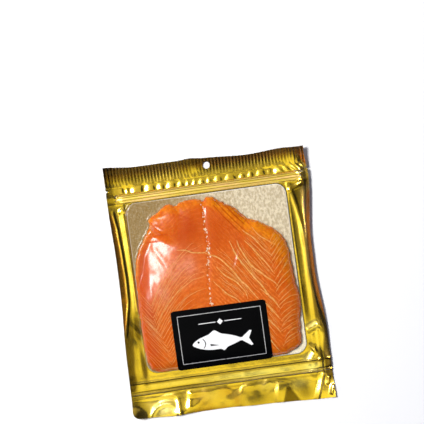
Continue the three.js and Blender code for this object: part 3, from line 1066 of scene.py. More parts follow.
class Wiring:
    """Places the nodes of a shader or geometry tree and joins them."""

    def __init__(self, tree: bpy.types.NodeTree) -> None:
        """Keeps the tree that nodes go into."""
        self.tree = tree

    def node(self, kind: str, inputs: dict | None = None, **settings: object) -> bpy.types.Node:
        """Adds a node.

        Args:
            kind: The node's type.
            inputs: Values, or sockets to join, for its inputs by name or number.
            **settings: Values for its properties.

        Returns:
            The node.
        """
        made = self.tree.nodes.new(kind)
        for name, value in settings.items():
            setattr(made, name, value)
        for key, value in (inputs or {}).items():
            if isinstance(value, Socket):
                self.tree.links.new(value, made.inputs[key])
            else:
                made.inputs[key].default_value = value
        return made

    def result(self, kind: str, inputs: dict | None = None, **settings: object) -> Socket:
        """Adds a node and gives its first output."""
        return self.node(kind, inputs, **settings).outputs[0]

    def math(self, operation: str, *values: object) -> Socket:
        """The result of a Math node on its values."""
        return self.result("ShaderNodeMath", dict(enumerate(values)), operation=operation)

    def times(self, value: object, factor: object) -> Socket:
        """One value multiplied by another."""
        return self.math("MULTIPLY", value, factor)

    def scaled(self, value: object, factor: object, shift: object) -> Socket:
        """A value multiplied by a factor, then shifted."""
        return self.math("MULTIPLY_ADD", value, factor, shift)

    def mix(self, share: object, low: object, high: object) -> Socket:
        """A mixed colour."""
        return self.node("ShaderNodeMix", {0: share, 6: low, 7: high}, data_type="RGBA").outputs[2]

    def ramp(self, value: Socket, start: float, end: float) -> Socket:
        """A smooth ramp from 0 to 1 between two values."""
        settings = {"Value": value, "From Min": start, "From Max": end}
        return self.result("ShaderNodeMapRange", settings, interpolation_type="SMOOTHSTEP")

    def attribute(self, name: str) -> Socket:
        """A vertex attribute as a number."""
        return self.node("ShaderNodeAttribute", attribute_name=name).outputs["Fac"]

    def layers(self, base: object, tones: dict[str, Colour]) -> Socket:
        """A base colour with others laid over it in turn, each where its attribute says.

        Args:
            base: The base colour.
            tones: The colours by the names of their attributes.

        Returns:
            The mixed colour.
        """
        for name, tone in tones.items():
            base = self.mix(self.attribute(name), base, tone)
        return base

    def place(self) -> Socket:
        """The object's own coordinates, in metres."""
        return self.node("ShaderNodeTexCoord").outputs["Object"]

    def axes(self, vector: Socket) -> Sequence[Socket]:
        """The three parts of a vector."""
        return self.node("ShaderNodeSeparateXYZ", {0: vector}).outputs

    def vector(self, x: object, y: object, z: object) -> Socket:
        """A vector from its three parts."""
        return self.result("ShaderNodeCombineXYZ", {0: x, 1: y, 2: z})

    def speckle(self, scale: float, detail: float = 2.0, stretch: Sequence[float] = (1, 1, 1)) -> Socket:
        """Noise over the object's own coordinates."""
        mapped = self.result("ShaderNodeMapping", {"Vector": self.place(), "Scale": stretch})
        return self.result("ShaderNodeTexNoise", {"Vector": mapped, "Scale": scale, "Detail": detail})

    def bump(self, height: Socket, distance: float, strength: float) -> Socket:
        """Fine relief that only bends the normal."""
        return self.result("ShaderNodeBump", {"Height": height, "Distance": distance, "Strength": strength})

    def principled(self, inputs: dict) -> Socket:
        """A surface with the given inputs."""
        return self.result("ShaderNodeBsdfPrincipled", inputs)


# ---- Finishes --------------------


@dataclass(frozen=True)
class Finish:
    """A finish that one of the pieces can take."""

    def surface(self, net: Wiring) -> Socket:
        """The finish's own shader, wired up in its tree."""
        raise NotImplementedError

    def material(self, name: str) -> bpy.types.Material:
        """Builds a material with this finish.

        Args:
            name: The material's name.

        Returns:
            The material.
        """
        material = bpy.data.materials.new(name)
        material.use_nodes = True
        material.node_tree.nodes.clear()
        net = Wiring(material.node_tree)
        output = net.node("ShaderNodeOutputMaterial")
        net.tree.links.new(self.surface(net), output.inputs[0])
        return material


@dataclass(frozen=True)
class GoldFilm(Finish):
    """Metallised film: bright gold, with painted sheen and painted shade, and a painted brown reflection
    where it turns up at the sides.
    """

    bright: Colour = (0.97, 0.67, 0.085, 1)
    # Painted sheen of the gold.
    pale: Colour = (1.0, 0.86, 0.42, 1)
    # Painted brown reflection on the upturned sides and the header's crown.
    brown: Colour = (0.40, 0.115, 0.001, 1)
    # Painted shade of the gold.
    dark: Colour = (0.22, 0.13, 0.002, 1)
    # Deep painted shade, near black, in the gaps and hollows.
    deep_shade_tone: Colour = (0.05, 0.025, 0.002, 1)
    roughness: float = 0.17

    def surface(self, net: Wiring) -> Socket:
        """Lays the painted sheen, painted shade, painted brown reflection and deep painted shade over one
        another, on a faint grain and slow waves.

        Args:
            net: The tree's wiring.

        Returns:
            The finish's shader.
        """
        tones = {"painted_sheen": self.pale, "painted_shade": self.dark, "turned": self.brown, "deep_painted_shade": self.deep_shade_tone}
        grain = net.speckle(900, 3)
        waves = net.scaled(net.speckle(260), 0.7, net.times(grain, 0.25))
        return net.principled({
            "Base Color": net.layers(self.bright, tones),
            "Metallic": 1.0,
            "Roughness": net.scaled(grain, 0.10, self.roughness - 0.05),
            "Normal": net.bump(waves, 0.00025, 0.25),
        })


@dataclass(frozen=True)
class ClearFilm(Finish):
    """Clear glossy film: lets the contents show and mirrors the lights.

    Each gloss is given as its share and its roughness.
    """

    tint: Colour = (0.97, 0.97, 0.965, 1)
    sharp_gloss: Point = (0.125, 0.17)
    hazy_gloss: Point = (0.05, 0.34)

    def surface(self, net: Wiring) -> Socket:
        """Mixes both glosses over a clear sheet, stronger towards grazing views.

        Args:
            net: The tree's wiring.

        Returns:
            The finish's shader.
        """
        grain = net.speckle(420)
        bump = net.bump(grain, 0.0002, 0.12)
        fresnel = net.result("ShaderNodeFresnel", {"IOR": 1.5, "Normal": bump})
        mixed = net.result("ShaderNodeBsdfTransparent", {"Color": self.tint})
        for share, roughness in (self.hazy_gloss, self.sharp_gloss):
            rough = net.scaled(grain, 0.08, roughness - 0.04)
            settings = {"Color": (1, 1, 1, 1), "Roughness": rough, "Normal": bump}
            gloss = net.result("ShaderNodeBsdfGlossy", settings)
            mixed = net.result("ShaderNodeMixShader", {0: net.times(fresnel, share), 1: mixed, 2: gloss})
        return mixed


@dataclass(frozen=True)
class SatinBoard(Finish):
    """Pale champagne board with a fine satin grain, painted shade towards the left and a painted glow of
    light at the lower right.
    """

    light: Colour = (0.84, 0.73, 0.53, 1)
    shade: Colour = (0.29, 0.178, 0.05, 1)
    # Pale core of the cut edges, also standing as a painted highlight along them.
    core: Colour = (0.93, 0.90, 0.84, 1)
    # Painted glow of light at the lower right.
    glow: Colour = (1.0, 0.91, 0.68, 1)

    def surface(self, net: Wiring) -> Socket:
        """Builds a grain with painted shade towards the left, a painted glow of light at the lower right and
        pale cut edges that also stand as a painted highlight.

        Args:
            net: The tree's wiring.

        Returns:
            The finish's shader.
        """
        across, up, _ = net.axes(net.place())
        grain = net.ramp(net.speckle(750, 3), 0.3, 0.7)
        # Painted shade: the tone darkens towards the left.
        drift = net.scaled(net.speckle(18), 0.06, across)
        tone = net.scaled(grain, 0.4, net.ramp(drift, -0.05, 0.09))
        base = net.mix(net.ramp(tone, 0.0, 1.3), self.shade, self.light)
        fibre = net.ramp(net.speckle(460, 5, (1, 0.6, 1)), 0.38, 0.62)
        base = net.mix(net.scaled(fibre, -0.44, 0.44), base, self.shade)
        # A painted pool of light along the lower right.
        beside = net.times(net.ramp(across, 0.062, 0.072), net.ramp(up, 0.01, -0.035))
        below = net.times(net.ramp(across, 0.03, 0.06), net.ramp(up, -0.07, -0.076))
        lit = net.times(net.math("MAXIMUM", beside, below), 0.9)
        return net.principled({
            "Base Color": net.layers(net.mix(lit, base, self.glow), {"cut": self.core}),
            "Roughness": net.scaled(net.speckle(700, 3), 0.2, 0.35),
            "Specular IOR Level": 0.1,
            "Normal": net.bump(fibre, 0.0004, 0.6),
        })


@dataclass(frozen=True)
class SmokedFish(Finish):
    """Moist smoked flesh: orange, deeper in the thick middle and yellower at the rim, with a painted haze of
    reflected light beside the highlight.
    """

    flesh: Colour = (0.71, 0.122, 0.002, 1)
    deep: Colour = (0.55, 0.066, 0.0005, 1)
    pale: Colour = (0.78, 0.165, 0.016, 1)
    rim: Colour = (0.86, 0.27, 0.002, 1)
    fat: Colour = (0.96, 0.40, 0.10, 1)
    # Painted haze of the film's reflected light over the flesh.
    painted_haze_tone: Colour = (0.86, 0.34, 0.21, 1)

    def surface(self, net: Wiring) -> Socket:
        """Builds the zones of the flesh and the painted haze of reflected light, with faint lines of fat
        between its flakes.

        Args:
            net: The tree's wiring.

        Returns:
            The finish's shader.
        """
        base = net.mix(net.ramp(net.speckle(70, 4), 0.35, 0.7), self.flesh, self.pale)
        zones = {"deep": self.deep, "pale": self.pale, "rim": self.rim, "painted_haze": self.painted_haze_tone}
        base = net.layers(base, zones)
        fine, marbled = net.speckle(900, 3), net.attribute("marbled")
        wander = net.scaled(net.speckle(140), 1.6, net.attribute("flake"))
        wave = net.math("PINGPONG", wander, 0.5)
        line = net.ramp(net.scaled(fine, 0.12, wave), 0.44, 0.53)
        hollow = net.ramp(net.scaled(fine, 0.2, wave), 0.34, 0.12)
        base = net.mix(net.times(net.times(hollow, marbled), 0.9), base, self.deep)
        base = net.mix(net.times(line, marbled), base, self.fat)
        blotch = net.ramp(net.speckle(330, 5), 0.62, 0.35)
        height = net.scaled(line, 0.5, net.speckle(420, 3))
        return net.principled({
            "Base Color": net.mix(net.times(blotch, 0.45), base, self.deep),
            "Roughness": net.scaled(fine, 0.15, 0.42),
            "Specular IOR Level": 0.02,
            "Subsurface Weight": 0.25,
            "Subsurface Radius": (0.004, 0.0012, 0.0005),
            "Subsurface Scale": 1.0,
            "Normal": net.bump(height, 0.0004, 0.35),
        })


@dataclass(frozen=True)
class FishFat(Finish):
    """Pale fat of the seams in the flesh."""

    light: Colour
    dark: Colour

    def surface(self, net: Wiring) -> Socket:
        """Mottles the two tones.

        Args:
            net: The tree's wiring.

        Returns:
            The finish's shader.
        """
        mottle = net.ramp(net.speckle(500, 3), 0.35, 0.65)
        return net.principled({
            "Base Color": net.mix(mottle, self.dark, self.light),
            "Roughness": 0.45,
            "Specular IOR Level": 0.15,
            "Subsurface Weight": 0.3,
            "Subsurface Radius": (0.003, 0.0015, 0.0008),
            "Subsurface Scale": 1.0,
        })


@dataclass(frozen=True)
class ZipPlastic(Finish):
    """Plastic of the closure, golden because it shows the film behind it, with painted shade along its
    grooves.
    """

    tint: Colour = (0.97, 0.74, 0.09, 1)
    pale: Colour = (0.96, 0.62, 0.25, 1)
    # Painted shade of the grooves.
    groove: Colour = (0.42, 0.28, 0.02, 1)
    grooves: tuple[Point, ...] = ((3.2, 0.3), (1.3, 0.25), (-1.3, 0.25))

    def surface(self, net: Wiring) -> Socket:
        """Builds long streaks, with a line of painted shade at the place and half width of each groove.

        Args:
            net: The tree's wiring.

        Returns:
            The finish's shader.
        """
        streaks = net.speckle(600, 2, (0.06, 1, 1))
        base = net.mix(net.ramp(streaks, 0.35, 0.65), self.tint, self.pale)
        along = net.axes(net.place())[1]
        centre = POUCH.zip_y + PLAN_SHIFT[1]
        lines: object = 0.0
        for at, half in self.grooves:
            line = net.math("COMPARE", along, (centre + at) * MM, half * MM)
            lines = net.math("MAXIMUM", lines, line)
        return net.principled({
            "Base Color": net.mix(lines, base, self.groove),
            "Metallic": 0.6,
            "Roughness": net.scaled(streaks, 0.2, 0.15),
        })


@dataclass(frozen=True)
class LabelStock(Finish):
    """Black semi-gloss sticker paper."""

    ink: Colour = (0.0008, 0.0009, 0.0014, 1)
    worn: Colour = (0.002, 0.002, 0.003, 1)

    def surface(self, net: Wiring) -> Socket:
        """Builds a fine grain in tone, gloss and relief.

        Args:
            net: The tree's wiring.

        Returns:
            The finish's shader.
        """
        grain = net.speckle(1200, 3)
        return net.principled({
            "Base Color": net.mix(net.ramp(grain, 0.45, 0.8), self.ink, self.worn),
            "Roughness": net.scaled(grain, 0.15, 0.40),
            "Specular IOR Level": 0.02,
            "Normal": net.bump(grain, 0.0001, 0.15),
        })


@dataclass(frozen=True)
class LabelInk(Finish):
    """Printed ink on the sticker, slightly mottled."""

    light: Colour
    dark: Colour

    def surface(self, net: Wiring) -> Socket:
        """Mottles the two tones.

        Args:
            net: The tree's wiring.

        Returns:
            The finish's shader.
        """
        mottle = net.ramp(net.speckle(1800, 3), 0.3, 0.6)
        return net.principled({
            "Base Color": net.mix(mottle, self.dark, self.light),
            "Roughness": net.scaled(net.speckle(900), 0.1, 0.4),
        })


@dataclass(frozen=True)
class StudioFloor(Finish):
    """Plain white floor."""

    tone: Colour = (0.94, 0.94, 0.94, 1)
    bright: Colour = (0.96, 0.96, 0.96, 1)

    def surface(self, net: Wiring) -> Socket:
        """Builds a matt white that hardly varies.

        Args:
            net: The tree's wiring.

        Returns:
            The finish's shader.
        """
        return net.result(
            "ShaderNodeBsdfDiffuse", {"Color": net.mix(net.speckle(3), self.tone, self.bright)}
        )


# ---- Geometry Nodes --------------------


class NodeRecipe:
    """A geometry tree with named inputs, and the way to run it on an object."""

    def __init__(self, name: str, numbers: dict[str, float], objects: Sequence[str] = ()) -> None:
        """Makes a tree that takes geometry, numbers, objects and a material.

        Args:
            name: The tree's name.
            numbers: Its number inputs with their defaults.
            objects: Its object inputs.
        """
        self.tree = bpy.data.node_groups.new(name, "GeometryNodeTree")
        self.socket("Geometry", "NodeSocketGeometry", "OUTPUT")
        self.socket("Geometry", "NodeSocketGeometry")
        for label in objects:
            self.socket(label, "NodeSocketObject")
        for label, default in numbers.items():
            kind = "NodeSocketInt" if isinstance(default, int) else "NodeSocketFloat"
            self.socket(label, kind).default_value = default
        self.socket("Material", "NodeSocketMaterial")
        self.net = Wiring(self.tree)
        self.entry = self.net.node("NodeGroupInput").outputs

    def socket(self, label: str, kind: str, way: str = "INPUT") -> bpy.types.NodeTreeInterfaceSocket:
        """Adds a socket to the tree's outside."""
        return self.tree.interface.new_socket(label, in_out=way, socket_type=kind)

    def object_input(self, label: str) -> Socket:
        """The geometry of one of the tree's object inputs."""
        return self.net.node("GeometryNodeObjectInfo", {0: self.entry[label]}).outputs["Geometry"]

    def settle(self, geometry: Socket, ground: Socket) -> Socket:
        """Lays flat geometry down on a surface and presses it thinner, as the input Flatten says.

        Args:
            geometry: What is laid down, modelled around the height of nought.
            ground: The surface's geometry.

        Returns:
            The geometry on the surface.
        """
        net = self.net
        x, y, z = net.axes(net.result("GeometryNodeInputPosition"))
        aim = {"Source Position": net.vector(x, y, 0.05), "Ray Direction": (0, 0, -1), "Ray Length": 0.1}
        ray = net.node("GeometryNodeRaycast", {"Target Geometry": ground, **aim}).outputs
        height = net.scaled(z, self.entry["Flatten"], net.axes(ray["Hit Position"])[2])
        settings = {"Geometry": geometry, "Selection": ray["Is Hit"], "Position": net.vector(x, y, height)}
        return net.result("GeometryNodeSetPosition", settings)

    def finish(self, geometry: Socket) -> "NodeRecipe":
        """Ends the tree with Realize Instances and Set Material.

        Args:
            geometry: What the tree has made.

        Returns:
            The recipe itself.
        """
        realized = self.net.result("GeometryNodeRealizeInstances", {0: geometry})
        settings = {"Geometry": realized, "Material": self.entry["Material"]}
        self.net.node("NodeGroupOutput", {0: self.net.result("GeometryNodeSetMaterial", settings)})
        return self

    def apply(self, made: Piece, values: dict[str, object]) -> None:
        """Runs the tree on an object and keeps the result as its plain mesh.

        Args:
            made: The object.
            values: A value for each of the tree's inputs, by name.
        """
        modifier = made.modifiers.new(self.tree.name, "NODES")
        modifier.node_group = self.tree
        for item in self.tree.interface.items_tree:
            if item.in_out == "INPUT" and item.name in values:
                modifier[item.identifier] = values[item.name]
        bake_modifiers(made)


def seal_rib_recipe() -> NodeRecipe:
    """Ribs pressed into a sheet beyond an edge of the plan, with faint cross lines.

    Returns:
        The recipe, ready to be applied.
    """
    recipe = NodeRecipe("seal_ribs", {
        "Rib pitch": 0.002,
        "Rib depth": 0.0001,
        "Row pitch": 0.003,
        "Row depth": 0.00003,
        "Phase": 0.0,
        "Lower edge": 0.0,
        "Fade": 0.008,
    })
    net, entry = recipe.net, recipe.entry
    across, along, _ = net.axes(net.result("GeometryNodeInputPosition"))

    def wave(position: Socket, pitch: str, depth: str) -> Socket:
        """One set of ribs along one direction."""
        turns = net.math("DIVIDE", net.math("SUBTRACT", position, entry["Phase"]), entry[pitch])
        return net.times(net.math("COSINE", net.times(turns, 2 * math.pi)), entry[depth])

    rows = wave(along, "Row pitch", "Row depth")
    ribs = net.math("ADD", wave(across, "Rib pitch", "Rib depth"), rows)
    inside = net.math("SUBTRACT", along, entry["Lower edge"])
    rise = net.scaled(net.math("DIVIDE", inside, entry["Fade"]), 0.75, 0.25)
    strength = net.times(net.math("GREATER_THAN", inside, 0.0), net.math("MINIMUM", rise, 1.0))
    offset = net.vector(0.0, 0.0, net.times(strength, ribs))
    settings = {"Geometry": entry["Geometry"], "Offset": offset}
    return recipe.finish(net.result("GeometryNodeSetPosition", settings))


def fat_line_recipe() -> NodeRecipe:
    """Thin seams of fat along drawn lines, laid on the surface of the fish.

    Returns:
        The recipe, ready to be applied.
    """
    recipe = NodeRecipe("fat_lines", {"Step": 0.0012, "Wander": 0.0008, "Flatten": 0.4}, ["Ground"])
    net, entry = recipe.net, recipe.entry
    curve = net.result("GeometryNodeMeshToCurve", {0: entry["Geometry"]})
    spaced = net.result("GeometryNodeResampleCurve", {"Curve": curve, "Length": entry["Step"]}, mode="LENGTH")
    place = net.result("GeometryNodeInputPosition")
    noises = [{"Vector": place, "Scale": scale, "Detail": 2.0} for scale in (110.0, 260.0)]
    drift = net.node("ShaderNodeTexNoise", noises[0]).outputs["Color"]
    for operation, values in (
        ("SUBTRACT", {1: (0.5, 0.5, 0.5)}),
        ("MULTIPLY", {1: (2.0, 2.0, 0.0)}),
        ("SCALE", {"Scale": entry["Wander"]}),
    ):
        drift = net.result("ShaderNodeVectorMath", {0: drift, **values}, operation=operation)
    moved = net.result("GeometryNodeSetPosition", {"Geometry": spaced, "Offset": drift})
    thick = net.result("GeometryNodeInputNamedAttribute", {"Name": "thick"}, data_type="FLOAT")
    swell = net.result("ShaderNodeTexNoise", noises[1])
    radius = net.times(thick, net.scaled(swell, 1.4, 0.3))
    circle = net.result("GeometryNodeCurvePrimitiveCircle", {"Resolution": 6, "Radius": 1.0})
    settings = {"Curve": moved, "Profile Curve": circle, "Scale": radius, "Fill Caps": True}
    tube = net.result("GeometryNodeCurveToMesh", settings)
    return recipe.finish(recipe.settle(tube, recipe.object_input("Ground")))


def fat_speck_recipe() -> NodeRecipe:
    """Small specks of fat scattered on points, laid on the surface of the fish.

    Returns:
        The recipe, ready to be applied.
    """
    numbers = {"Smallest": 0.0003, "Largest": 0.0009, "Flatten": 0.35, "Seed": 3}
    recipe = NodeRecipe("fat_specks", numbers, ["Ground"])
    net, entry = recipe.net, recipe.entry
    ball = net.result("GeometryNodeMeshIcoSphere", {"Radius": 1.0, "Subdivisions": 2})

    def draw(low: object, high: object, shift: float) -> Socket:
        """A random number for each point."""
        settings = {2: low, 3: high, "Seed": net.math("ADD", entry["Seed"], shift)}
        return net.node("FunctionNodeRandomValue", settings, data_type="FLOAT").outputs[1]

    size = draw(entry["Smallest"], entry["Largest"], 0.0)
    scale = net.vector(size, net.times(size, draw(1.0, 2.2, 1.0)), size)
    turn = net.vector(0.0, 0.0, draw(-0.9, 0.9, 2.0))
    settings = {"Points": entry["Geometry"], "Instance": ball, "Scale": scale, "Rotation": turn}
    spread = net.result("GeometryNodeInstanceOnPoints", settings)
    real = net.result("GeometryNodeRealizeInstances", {0: spread})
    return recipe.finish(recipe.settle(real, recipe.object_input("Ground")))


def closure_recipe() -> NodeRecipe:
    """A section swept along a line, upright, and as thick as the line says at each place.

    Returns:
        The recipe, ready to be applied.
    """
    recipe = NodeRecipe("closure_band", {}, ["Section"])
    net = recipe.net
    curve = net.result("GeometryNodeMeshToCurve", {0: recipe.entry["Geometry"]})
    upright = net.result("GeometryNodeSetCurveNormal", {"Curve": curve}, mode="Z_UP")
    section = net.result("GeometryNodeMeshToCurve", {0: recipe.object_input("Section")})
    thick = net.result("GeometryNodeInputNamedAttribute", {"Name": "thick"}, data_type="FLOAT")
    settings = {"Curve": upright, "Profile Curve": section, "Scale": thick, "Fill Caps": True}
    return recipe.finish(net.result("GeometryNodeCurveToMesh", settings))


# ---- Sub-assemblies --------------------


@dataclass
class Films:
    """The gold back film and the clear front film of the pouch."""

    rib_pitch: float = 3.3
    rib_depth: float = 0.12
    row_pitch: float = 2.6
    row_depth: float = 0.02
    rib_fade: float = 8.0
    hole: Point = (1.2, 117.5)
    hole_diameter: float = 7.1
    hole_steps: int = 48
    notch_depth: float = 2.2
    notch_rows: Point = (103.9, 101.5)
    notch_half: float = 2.0
    cut_heights: Point = (-10.0, 30.0)
    clearance: float = 0.22
    zip_room: float = 3.8
    zip_height: float = 2.9
    zip_lips: Point = (96.5, 93.2)
    pull: float = 1.3
    passes: int = 260
    grid: PouchGrid = field(default_factory=PouchGrid)

    def __post_init__(self) -> None:
        """Works out the heights of both films."""
        self.back_body = POUCH.back_underside(*self.grid.body)
        self.back_header = POUCH.back_underside(*self.grid.header)
        fused = POUCH.film + POUCH.fused_gap
        x, y = self.grid.body
        floor = np.maximum(self.back_body + fused, self.contents(x, y) + self.clearance)
        front = stretch_film(x, y, floor, self.pull, self.passes)
        creases = sum(fold.height(x, y) for fold in DRAWN_CREASES)
        drawn = 0.04 * noise(x, y, 3.2, 25) + 0.05 * noise(x, y * 0.6, 7, 26)
        self.front_body = front + creases + ramp(2, -2, BOARD.outside(x, y)) * drawn
        self.front_header = self.back_header + fused
        gap = self.front_body[-1] - self.back_body[-1] - fused
        self.front_header[0, ::2] += gap

    def contents(self, x: Values, y: Values) -> Values:
        """Height of whatever lies between the films.

        Args:
            x: Places across.
            y: Places along.

        Returns:
            Height at each point.
        """
        inside = FISH.share(x, y) < 1
        height = np.where(inside, FISH.top(x, y), 0)
        height = np.where(~inside & BOARD.contains(x, y), BOARD_TOP, height)
        in_zip = (np.abs(y - POUCH.zip_y) < self.zip_room) & (x > POUCH.zip_ends[0]) & (x < POUCH.zip_ends[1])
        first, second = (0.3 * bell(y - lip, 0.5) for lip in self.zip_lips)
        profile = self.zip_height + first + second
        return np.where(in_zip, POUCH.lift(x, y) + profile, height)

    def height_at(self, x: Values, y: Values) -> Values:
        """Height of the top of the front film over the board.

        Args:
            x: Places across.
            y: Places along.

        Returns:
            Height at each point.
        """
        centre = slice(self.grid.left_cells, self.grid.left_cells + self.grid.centre_cells + 1)
        columns, rows = self.grid.body[0][0, centre], self.grid.rows
        i = np.clip(np.searchsorted(columns, x) - 1, 0, len(columns) - 2)
        j = np.clip(np.searchsorted(rows, y) - 1, 0, len(rows) - 2)
        u = (x - columns[i]) / (columns[i + 1] - columns[i])
        v = (y - rows[j]) / (rows[j + 1] - rows[j])
        return bilinear(self.front_body[:, centre], j, i, v, u) + POUCH.film

    def cutters(self) -> Piece:
        """The hang hole and the tear notches as one solid to cut with.

        Returns:
            The solid, which reaches well past both films.
        """
        centre, radius, depth = self.hole, self.hole_diameter / 2, self.notch_depth
        turns = np.linspace(0, 2 * math.pi, self.hole_steps, endpoint=False)
        outlines = [[(centre[0] + radius * math.cos(a), centre[1] + radius * math.sin(a)) for a in turns]]
        for row, side_edge, inward in zip(self.notch_rows, (POUCH.left_edge, POUCH.right_edge), (1, -1)):
            edge = float(side_edge(np.array(row)))
            outer, inner = edge - inward * depth, edge + inward * depth
            mouth = [(outer, row + self.notch_half), (outer, row - self.notch_half)]
            outlines.append([*mouth, (inner, row)][::inward])
        points, faces = [], []
        for outline in outlines:
            faces += stacked_faces(len(points), len(outline), 2)
            points += [(x, y, z) for z in self.cut_heights for x, y in outline]
        return new_object("cutters", to_frame(*np.array(points).T), faces)

    def build(self) -> list[Piece]:
        """Builds both films.

        Returns:
            The back film and the front film.
        """
        gold, clear = GoldFilm().material("gold_film"), ClearFilm().material("clear_film")
        recipe = seal_rib_recipe()
        cutters = self.cutters()
        sheets = (
            ("gold_back_film", self.back_body, self.back_header, gold, "back_film", "gold_film"),
            ("clear_front_film", self.front_body, self.front_header, clear, "front_film", "clear_film"),
        )
        made = []
        for name, body, header, material, node, slot in sheets:
            sheet = self.grid.sheet(name, body, header)
            cut = sheet.modifiers.new("openings", "BOOLEAN")
            cut.operation, cut.solver, cut.object = "DIFFERENCE", "MANIFOLD", cutters
            bake_modifiers(sheet)
            recipe.apply(sheet, {
                "Rib pitch": self.rib_pitch * MM,
                "Rib depth": self.rib_depth * MM,
                "Row pitch": self.row_pitch * MM,
                "Row depth": self.row_depth * MM,
                "Phase": (BOARD.left + PLAN_SHIFT[0]) * MM,
                "Lower edge": (POUCH.header_start + 0.3 + PLAN_SHIFT[1]) * MM,
                "Fade": self.rib_fade * MM,
                "Material": material,
            })
            FilmTones(*plan_of(sheet), self.rib_pitch).paint_on(sheet)
            dress(sheet, material)
            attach(sheet, "root")
            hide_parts(node)
            made.append(sheet)
        bpy.data.objects.remove(cutters)
        return made


@dataclass
class FilmTones:
    """Where light and shade are painted on the gold film, at points of the plan: a brown reflection, shade,
    deep shade and sheen.
    """

    x: Values
    y: Values
    rib_pitch: float

    def __post_init__(self) -> None:
        """Works out the bands that more than one tone uses."""
        x, y = self.x, self.y
        lines = (LEFT_TURN, RIGHT_TURN, RIGHT_STRIPE)
        self.left, self.right, self.stripe = (x - line.place(y) for line in lines)
        self.framed = window(-58, -46, 84, 94, y)
        # A ripple of painted shade at the rib pitch, darker between the header's ribs.
        self.ribs = 0.5 * np.cos((x - BOARD.left) * 2 * math.pi / self.rib_pitch) * ramp(107, 109, y)
        # Painted shade in the hollow beside the left turn.
        self.valley_shade = 0.75 * bell(self.left - 1.4, 1.5) * window(-45, -20, 80, 88, y)
        # Painted shade along the upturned right side, in place of a glint.
        self.crease_shade = bell(self.right + 1.2, 0.9) * window(-52, -40, 70, 80, y)
        # Painted shade at the lower left corner, in the patches of SHADES and in the flap's three-sided
        # hollow.
        self.foot = 0.6 * bell(np.hypot(x + 104, y + 127), 12) + sum(shade.depth(x, y) for shade in SHADES)
        self.foot += self.dent_shade()

    def paint_on(self, sheet: Piece) -> None:
        """Writes each painted tone of light and shade as an attribute of a film."""
        for tone in (self.turned, self.painted_shade, self.deep_painted_shade, self.painted_sheen):
            paint(sheet, tone.__name__, unit(tone()))

    def turned(self) -> Values:
        """The painted brown reflection on the upturned sides, the upper right corner and the header's crown,
        with a faint warm patch on the flap.

        Returns:
            How strong it is at each point.
        """
        x, y = self.x, self.y
        at_left = 0.8 * ramp(0.0, -1.8, self.left) * window(-42, -30, 78, 86, y)
        at_right = ramp(-0.4, 1.0, self.right) * window(-56, -46, 76, 84, y)
        corner = ramp(0.5, -0.5, 99.6 - 0.43 * (y - 101.5) - x) * ramp(102, 108, y)
        crown = 0.95 * ramp(113, 122, y) * (0.55 + 0.45 * ramp(-30, 10, x))
        warm = 0.22 * window(-50, -40, 0, 12, x) * ramp(-103, -107, y) * (1 + noise(x, y, 7, 52))
        return at_left + at_right + corner + crown + warm

    def header(self) -> Values:
        """Painted shade over the header, darker between its ribs, apart from two places where it shines.

        Returns:
            How dark it is at each point.
        """
        x, y = self.x, self.y
        tone = (0.05 + 0.95 * ramp(107.5, 116, y)) * (0.8 + 0.3 * noise(x, y, 30, 51) + self.ribs)
        shining = (1 - 0.8 * bell(x + 15 + 0.6 * (y - 120), 4)) * (1 - 0.75 * bell(x - 86, 4))
        return tone * ramp(106.5, 108, y) * shining

    def beyond(self) -> Values:
        """The shaded outer part of the right side.

        Returns:
            How dark it is at each point.
        """
        edge = 92 + 2.6 * bell(self.y + 67, 10)
        low = ramp(edge - 1.5, edge + 1.5, self.x) * window(-118, -108, -30, -15, self.y)
        return ramp(1.4, 3.4, self.stripe) * self.framed * (1 - 0.15 * ramp(50, 65, self.y)) + low

    def side(self) -> Values:
        """The shaded outer part of the left side, below its turn."""
        outer = ramp(2.5, -2.5, self.x + 96.6 + 2 * ramp(-50, -80, self.y))
        return outer * window(-100, -92, -46, -34, self.y)

    def lines(self) -> Values:
        """Lines of painted shade beside the left stripe and along the machine seal, and bands of painted
        shade that calm the right stripe and the puckers.

        Returns:
            How strong they are at each point.
        """
        x, y = self.x, self.y
        beside = x - LEFT_STRIPE.place(y)
        # Painted shade beside the left stripe.
        split = 0.4 * bell(beside + 1.6, 0.7) * window(14, 24, 74, 82, y)
        split += 0.12 * bell(beside + 2, 3) * window(-40, -20, 74, 84, y)
        # Painted shade along the lines of the machine seal.
        pressed = 0.7 * bell(y + 92.3, 0.9) + 0.5 * bell(y + 102.3, 0.7) + 0.45 * bell(y + 105.8, 1.0)
        # Painted shade that dims the right stripe and the row of puckers.
        calm = 0.16 * bell(self.stripe - 1.2, 2.4) * self.framed
        calm += 0.25 * bell(y - 102.2, 3) * ramp(84, 76, np.abs(x))
        return split + pressed * ramp(92, 88, np.abs(x)) + calm

    def dent_shade(self) -> Values:
        """Painted shade in the three-sided hollow of the flap.

        Returns:
            How dark it is at each point.
        """
        down = (-111.8 - self.y) / 16
        half = 0.8 + 7.4 * down
        return ramp(half + 1.4, half - 1.4, np.abs(self.x - 52.4 - 1.8 * down)) * ramp(0, 0.2, down)

    def painted_shade(self) -> Values:
        """All the painted shade on the gold.

        Returns:
            How strong it is at each point.
        """
        x, y = self.x, self.y
        # Painted shade between the board and the right stripe.
        before = 0.55 * ramp(-1.4, -3.2, self.stripe) * ramp(79.0, 79.8, x) * self.framed
        # Painted shade at both sides near the ends of the closure.
        ends = ramp(88, 94, x) * ramp(82, 90, y) + ramp(-93, -97, x) * ramp(84, 92, y)
        bands = self.header() + self.valley_shade + 0.4 * self.crease_shade + self.beyond() + before + self.side()
        return bands + 0.75 * ends + self.foot + self.lines()

    def deep_painted_shade(self) -> Values:
        """The deep shade around the board, in the header's crown and at both sides.

        Returns:
            How strong it is at each point.
        """
        x, y = self.x, self.y
